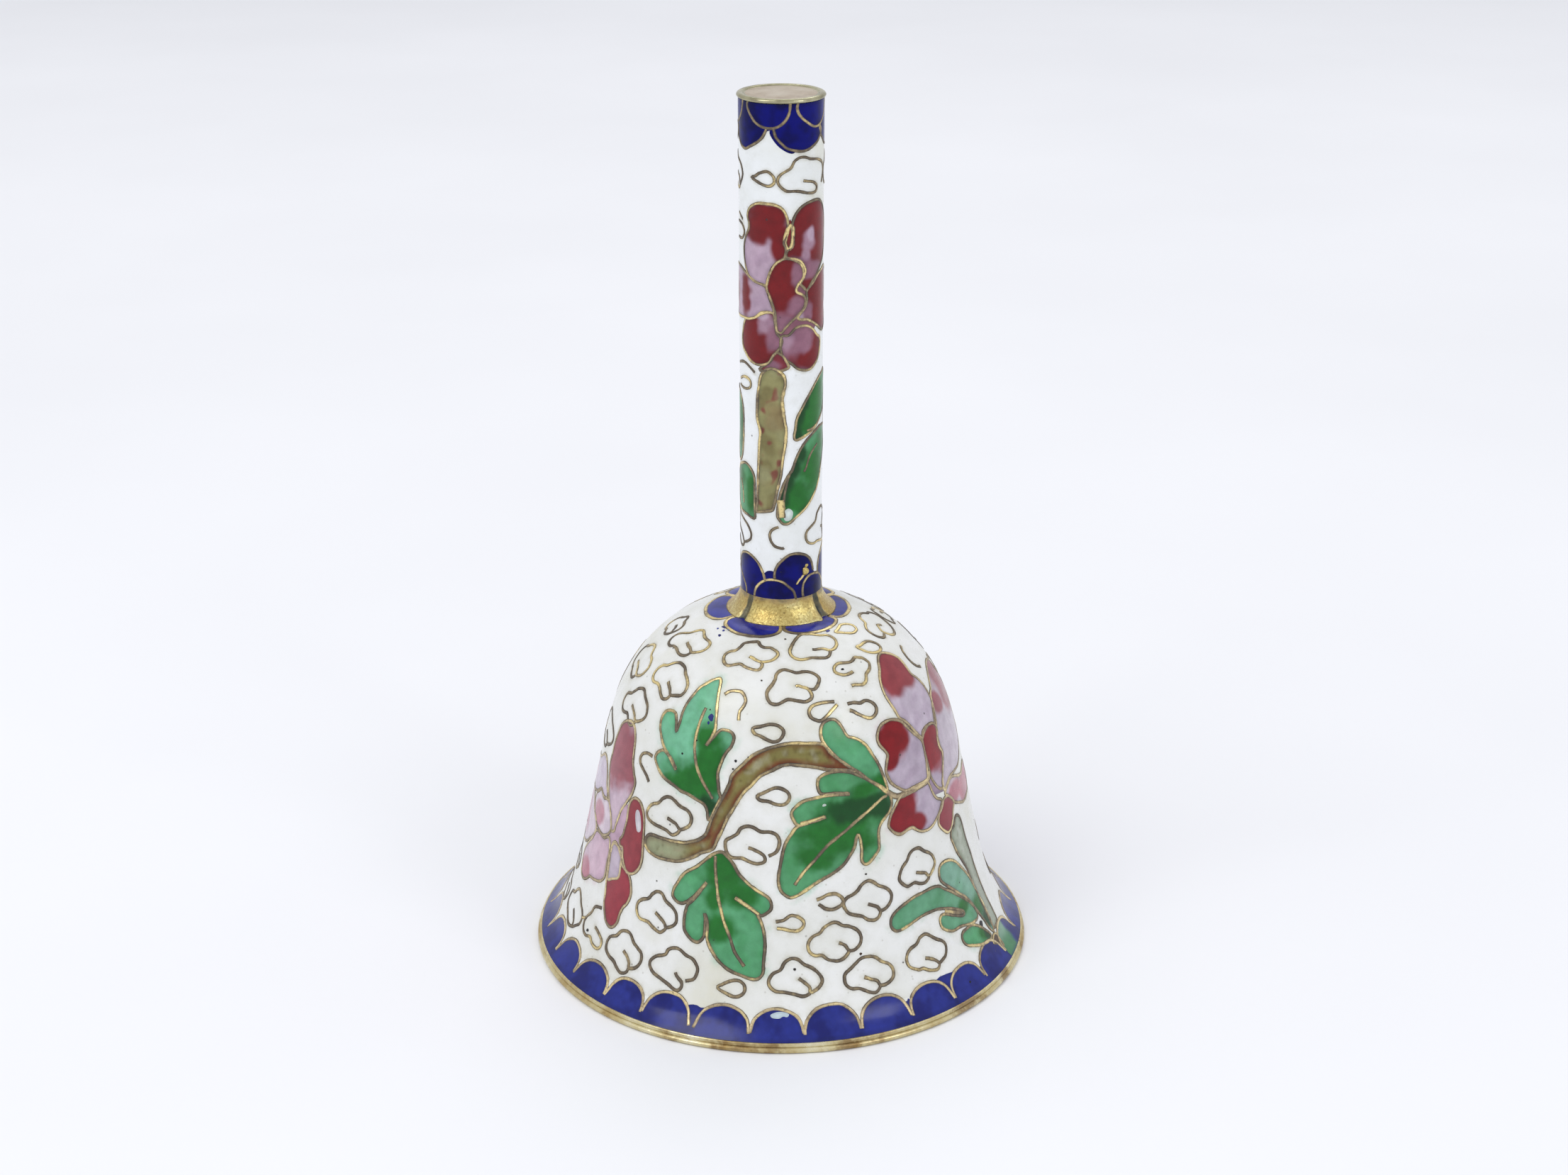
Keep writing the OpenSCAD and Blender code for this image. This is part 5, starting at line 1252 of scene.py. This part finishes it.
HT = {"F1": H_LILAC, "F2": H_RED, "F3": H_LILAC, "F4": H_RED, "F5": H_RED, "F6": H_RED, "F7": MAUVE, "F8": lin(128, 44, 54)}
LM = lin(164, 130, 148)
H_BLOBS = {
    "F1": [(-22, 95.9, 3.5, 2.7, H_RED), (0, 93.2, 1.3, 3.0, H_RED), (-34, 94.6, 1.9, 1.7, H_RED)],
    "F2": [(2, 83.4, 2.9, 1.3, MAUVE), (27, 89.2, 1.2, 1.5, MAUVE), (24, 85.4, 1.3, 1.3, MAUVE)],
    "F3": [(-56, 86.6, 0.95, 2.9, H_RED), (-90, 86.5, 1.4, 2.6, H_RED)],
    "F4": [(40, 93.2, 0.95, 1.6, LM), (44, 94.0, 0.6, 0.9, H_LILAC), (26, 90.4, 1.8, 1.1, MAUVE), (46, 89.6, 2.2, 1.0, MAUVE), (36, 91.6, 0.8, 0.7, LM)],
    "F5": [(26, 84.2, 1.3, 1.1, H_LILAC), (38, 84.6, 0.8, 1.4, MAUVE)],
    "F6": [(-20, 83.2, 1.3, 1.2, LM), (-9, 81.4, 1.1, 1.7, MAUVE), (-26, 84.3, 0.9, 0.6, H_LILAC)],
    "F7": [(42, 78.9, 2.9, 1.35, H_RED), (58, 80.6, 1.3, 1.7, H_RED), (30, 80.9, 1.5, 1.3, MAUVE), (6, 81.2, 1.1, 1.1, LM)],
    "F8": [(-13, 78.2, 1.0, 0.8, MAUVE)],
}
for outline, shade in H_FILLS:
    for q in hboth(outline):
        cell(hand_cells, q, Handle, petal_colour(shade, shade, [], Handle, 1.0), smooth=False, lift=0.002, grid=0.28)
for nme, outline, blobs in H_PETALS:
    for i, q in enumerate(hboth(outline)):
        bl = H_BLOBS[nme]
        if i:
            bl = [(180 + 0.85 * b[0],) + b[1:] for b in bl]
        cell(hand_cells, q, Handle, petal_colour(HT[nme], HT[nme], bl, Handle, 2.0 + ord(nme[1])), grid=0.16)
        wire(hand_wires, q, Handle, w=0.36, closed=True, gold_and_glint=0.36)
for i, q in enumerate(H_LEAVES):
    for j, p in enumerate(hboth(q)):
        spots = H_LEAF_SPOTS[i]
        if j:
            spots = [(180 + 0.85 * b[0],) + b[1:] for b in spots]
        cell(hand_cells, p, Handle, leaf_colour(spots, Handle, 21.0 + i, base=lin(84, 152, 104)), grid=0.25)
        wire(hand_wires, p, Handle, w=0.37, closed=True, gold_and_glint=0.3)
for q in H_LEAFVEINS:
    for p in hboth(q):
        wire(hand_wires, p, Handle, w=0.33, gold_and_glint=0.45)
for p in hboth(H_STEM):
    cell(hand_cells, p, Handle, stem_colour(Handle, 12.0), grid=0.15)
    wire(hand_wires, p, Handle, w=0.4, closed=True, gold_and_glint=0.55)
for q in H_CLOUDS + H_CURLS:
    for p in hboth(q):
        wire(hand_wires, p, Handle, w=0.34, gold_and_glint=0.15)
for p in hboth(H_DROP):
    wire(hand_wires, p, Handle, w=0.36, closed=True, gold_and_glint=0.2)
for p in hboth(H_GOLDLOOP):
    wire(hand_wires, p, Handle, w=0.5, closed=True, gold_and_glint=0.8)

# blue that ran between the two tall arches and over the top ones
for bit in H_BLUE_BITS:
    for q in hboth(bit):
        cell(hand_blue, q, Handle, HB, lift=0.006, grid=0.22)
for p, w in NOTCHES:
    for q in both(p):
        wire(leaf_wires, q, Bell, w=w, gold_and_glint=0.55)
solder = Buf()
wire(hand_wires, [(34, 51.3), (30, 50.9), (26, 50.6), (22, 50.1)], Handle, w=0.34, gold_and_glint=0.9)
for th, s, rx, ry, hh in ((36, 51.7, 0.56, 0.5, 0.42), (38, 52.4, 0.26, 0.24, 0.2)):
    base = len(solder.v)
    n = 14
    for ring in range(5):
        u = ring / 4
        for j in range(n):
            w = 2 * math.pi * j / n
            k = math.cos(u * math.pi / 2) * (1 + 0.16 * math.sin(2 * w + th) + 0.1 * math.cos(3 * w))
            solder.v.append(Handle.point(th + math.degrees(rx * k * math.cos(w) / HANDLE_R), s + ry * k * math.sin(w), -0.05 + (hh + 0.05) * math.sin(u * math.pi / 2)))
            solder.c.append((0.1 * (ring == 0), 0.0, 0.0))
    for ring in range(4):
        for j in range(n):
            a, b = base + ring * n + j, base + ring * n + (j + 1) % n
            solder.f.append((a, b, b + n, a + n))
    solder.f.append(tuple(base + j for j in reversed(range(n))))
    solder.f.append(tuple(base + 4 * n + j for j in range(n)))

for q in hboth(H_WHITESPOT):
    cell(hand_cells, q, Handle, lambda th, s, away: lin(214, 226, 222), lift=0.03, grid=0.16)
for q in hboth([(0.5, 59.0), (0.2, 60.0), (-0.6, 61.3)]):
    wire(hand_wires, q, Handle, w=0.95, gold_and_glint=1.0, top=0.07)
for q in hboth([(2.5, 60.6), (6.5, 63.0), (12, 64.6)]):
    wire(hand_wires, q, Handle, w=0.34, gold_and_glint=0.0)

make_grounds()


def turn_collar():
    """The collar is a strip bent round and flared, open in a fold at each side, with flux left in the folds."""
    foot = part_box("handle_collar")
    z0, z1 = foot[0].z / MM, foot[1].z / MM
    r1 = foot[1].x / MM
    flat = 45.4
    folds = ((-48, 4.6, 0.6), (56, 5.2, 0.75), (140, 3.0, 0.4), (-138, 3.2, 0.45))

    def fold(deg):
        best = 0.0
        if 40 < deg < 50:
            return -0.34 * math.sin(math.pi * (deg - 40) / 10) ** 2
        for c, w, dp in folds:
            d = abs((deg - c + 180) % 360 - 180)
            best = max(best, dp * math.exp(-(d / w) ** 2))
        return best

    outer = []
    n = 26
    for i in range(n + 1):
        u = i / n
        z = flat + 0.02 + (z1 - flat - 0.02) * u
        r = 5.12 + (r1 - 0.12 - 5.12) * (1 - u) ** 1.75 * (1 - 0.12 * math.sin(math.pi * u))
        outer.append((r, z, 0.05 + u))
    sec = [(4.56, z1, 0.0), (4.56, z0 + 0.05, 0.0), (6.2, z0 + 0.05, 0.0), (6.55, flat, 0.0)] + outer

    def shape(a, r, z, w):
        if not w:
            return 0.0, 0.0
        u = w - 0.05
        deg = math.degrees(a)
        deg = deg - 360 if deg > 180 else deg
        f = fold(deg)
        # the flare stands out more at the two sides, and its lower edge is cut by hand
        side = 0.10 * (1 - u) * math.cos(2 * math.radians(deg - 90))
        grain = 0.028 * noise.noise(Vector((r * math.sin(a) * 3.2, r * math.cos(a) * 3.2, z * 3.2)))
        rough = 0.05 * noise.noise(Vector((math.sin(a) * 3, math.cos(a) * 3, u)))
        return -f * (0.35 + 0.65 * (1 - u)) * (1 - 0.4 * u) + side * 0.6 + grain + rough * (1 - u) - 0.04, 0.0

    def colour(p, w):
        if not w:
            return (0, 0, 0)
        u = w - 0.05
        deg = math.degrees(math.atan2(p.x, -p.y))
        f = fold(deg) / 0.5
        # painted shade: the flare gets browner and then darker towards its top, where it meets the handle; the
        # darkening at the folds is flux
        top = soft(0.78, 0.98, u + 0.16 * noise.noise(p * 1.1))
        e = soft(0.22, 0.62, f + 0.3 * noise.noise(p * 1.1))
        tan = soft(0.55, 0.95, abs(deg) / 60 + 0.3 * noise.noise(p * 0.9)) if abs(deg) < 110 else 0.7
        return (min(1.0, max(1.25 * e, 0.85 * top)), max(tan * 0.8, 0.7 * soft(0.6, 0.9, u)) * (1 - e), 0)

    ob = lathe("gilt_collar", sec, M_COLLAR, "bell", 320, shape=shape, colour=colour)
    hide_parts("handle_collar")


def turn_cap():
    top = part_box("handle_cap")
    z1 = top[1].z / MM
    z0 = top[0].z / MM
    t = h1z
    sec = [(0.0, z1 - 0.12, 0.0), (1.5, z1 - 0.118, 0.0), (3.0, z1 - 0.125, 0.0), (3.9, z1 - 0.15, 0.0), (4.25, z1 - 0.16, 0.0)]
    for i in range(15):
        u = math.radians(160 - 14.5 * i)
        sec.append((4.83 + 0.44 * math.cos(u), (t + z1) / 2 + (z1 - t) / 2 * min(1.0, 1.06 * math.sin(u)) + 0.0, 1.0))
    sec += [(5.0, t + 0.0, 1.0), (4.0, t, 0.0), (3.70, t, 0.0), (3.70, z0 + 0.1, 0.0), (3.6, z0, 0.0), (0.0, z0, 0.0)]

    def shape(a, r, z, w):
        if not w:
            return 0.0, 0.004 * noise.noise(Vector((r * math.sin(a), r * math.cos(a), 0)) * 1.2) if r < 4 and z > t else 0.0
        return (0.03 * noise.noise(Vector((math.sin(a) * 2.5, math.cos(a) * 2.5, z * 2))) - 0.02,
                0.02 * (noise.noise(Vector((math.sin(a) * 3.5, math.cos(a) * 3.5, 4.0))) - 0.4) if z > t + 0.15 else 0.0)

    ob = lathe("end_cap", sec, M_CAP, "bell", 160, shape=shape)
    ob.data.materials.append(M_CAP_EDGE)
    idx = []
    for p in ob.data.polygons:
        r = math.hypot(p.center.x, p.center.y) / MM
        idx.append(1 if r > 4.3 and p.center.z / MM > t - 0.01 else 0)
    ob.data.polygons.foreach_set("material_index", idx)
    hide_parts("handle_cap")


turn_collar()
turn_cap()
# the painted highlight on the lip cobalt, together with the specks and pinholes
glint_and_specks.make("lip_glint_and_specks", M_CELL, "bell")
border.make("lip_border_cells", M_BLUE, "bell")
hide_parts("lip_border_enamel")
rosette.make("crown_rosette_cells", M_BLUE, "bell")
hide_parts("crown_rosette_enamel")
lip_wires.make("lip_scallop_wires", M_WIRE_GOLD, "bell")
solder.make("solder_spill", M_COLLAR, "bell")
ros_wires.make("rosette_wires", M_WIRE, "bell")
cloud_wires.make("cloud_wires", M_WIRE, "bell")
leaf_wires.make("leaf_wires", M_WIRE, "bell")
flower_wires.make("flower_wires", M_WIRE_GOLD, "bell")
leaves.make("leaf_cells", M_CELL, "bell")
stems.make("branch_cells", M_CELL, "bell")
flowers.make("flower_cells", M_CELL, "bell")
hand_cells.make("handle_flower_cells", M_CELL, "bell")
hb = hand_blue.make("handle_border_cells", M_BLUE_H, "bell")
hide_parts("handle_lower_border_enamel", "handle_upper_border_enamel")
hand_wires.make("handle_wires", M_WIRE, "bell")

# ---------------------------------------------------------------- floor, light, camera
fm = Mat("pale_floor")
fc = fm.ramp(fm.noise(6, 3, 0.5), [(0.3, lin(236, 237, 240)), (0.7, lin(241, 242, 245))])
fm.set(base=fc, rough=fm.span(fm.noise(60, 3, 0.5), 0.3, 0.7, 0.7, 0.85), spec=0.2)
me = bpy.data.meshes.new("floor")
me.from_pydata([(-3, -3, 0), (3, -3, 0), (3, 3, 0), (-3, 3, 0)], [], [(0, 1, 2, 3)])
me.materials.append(fm.m)
floor = bpy.data.objects.new("floor", me)
bpy.context.scene.collection.objects.link(floor)
floor.location.z = -0.00002


def area(name, loc, size, power, target=(0, 0, 0.05), colour=(1, 1, 1)):
    l = bpy.data.lights.new(name, "AREA")
    l.shape = "RECTANGLE"
    l.size, l.size_y = size
    l.energy = power
    l.color = colour
    o = bpy.data.objects.new(name, l)
    bpy.context.scene.collection.objects.link(o)
    o.location = loc
    o.rotation_euler = (Vector(target) - Vector(loc)).to_track_quat("-Z", "Y").to_euler()
    return o


area("key_softbox", (-0.45, -0.35, 0.75), (0.45, 0.45), 2.05)
area("fill_softbox", (0.55, -0.45, 0.55), (0.3, 0.3), 1.0)
area("back_softbox", (0.1, 0.6, 0.7), (0.6, 0.3), 0.85)
world = bpy.data.worlds.new("studio")
world.use_nodes = True
bg = world.node_tree.nodes["Background"]
bg.inputs[0].default_value = (0.955, 0.963, 1.0, 1)
bg.inputs[1].default_value = 0.82
bpy.context.scene.world = world
bpy.context.scene.view_settings.view_transform = "Standard"
bpy.context.scene.view_settings.look = "None"

cam = bpy.data.cameras.new("camera")
cam.sensor_width = 36
cam.lens = 58.59
cam.shift_x = 0.0018
cam.clip_start = 0.01
cam_ob = bpy.data.objects.new("camera", cam)
bpy.context.scene.collection.objects.link(cam_ob)
cam_ob.location = (0, -0.29696, 0.1664)
cam_ob.rotation_euler = (math.radians(68.24), 0, 0)
bpy.context.scene.camera = cam_ob

bpy.context.view_layer.update()
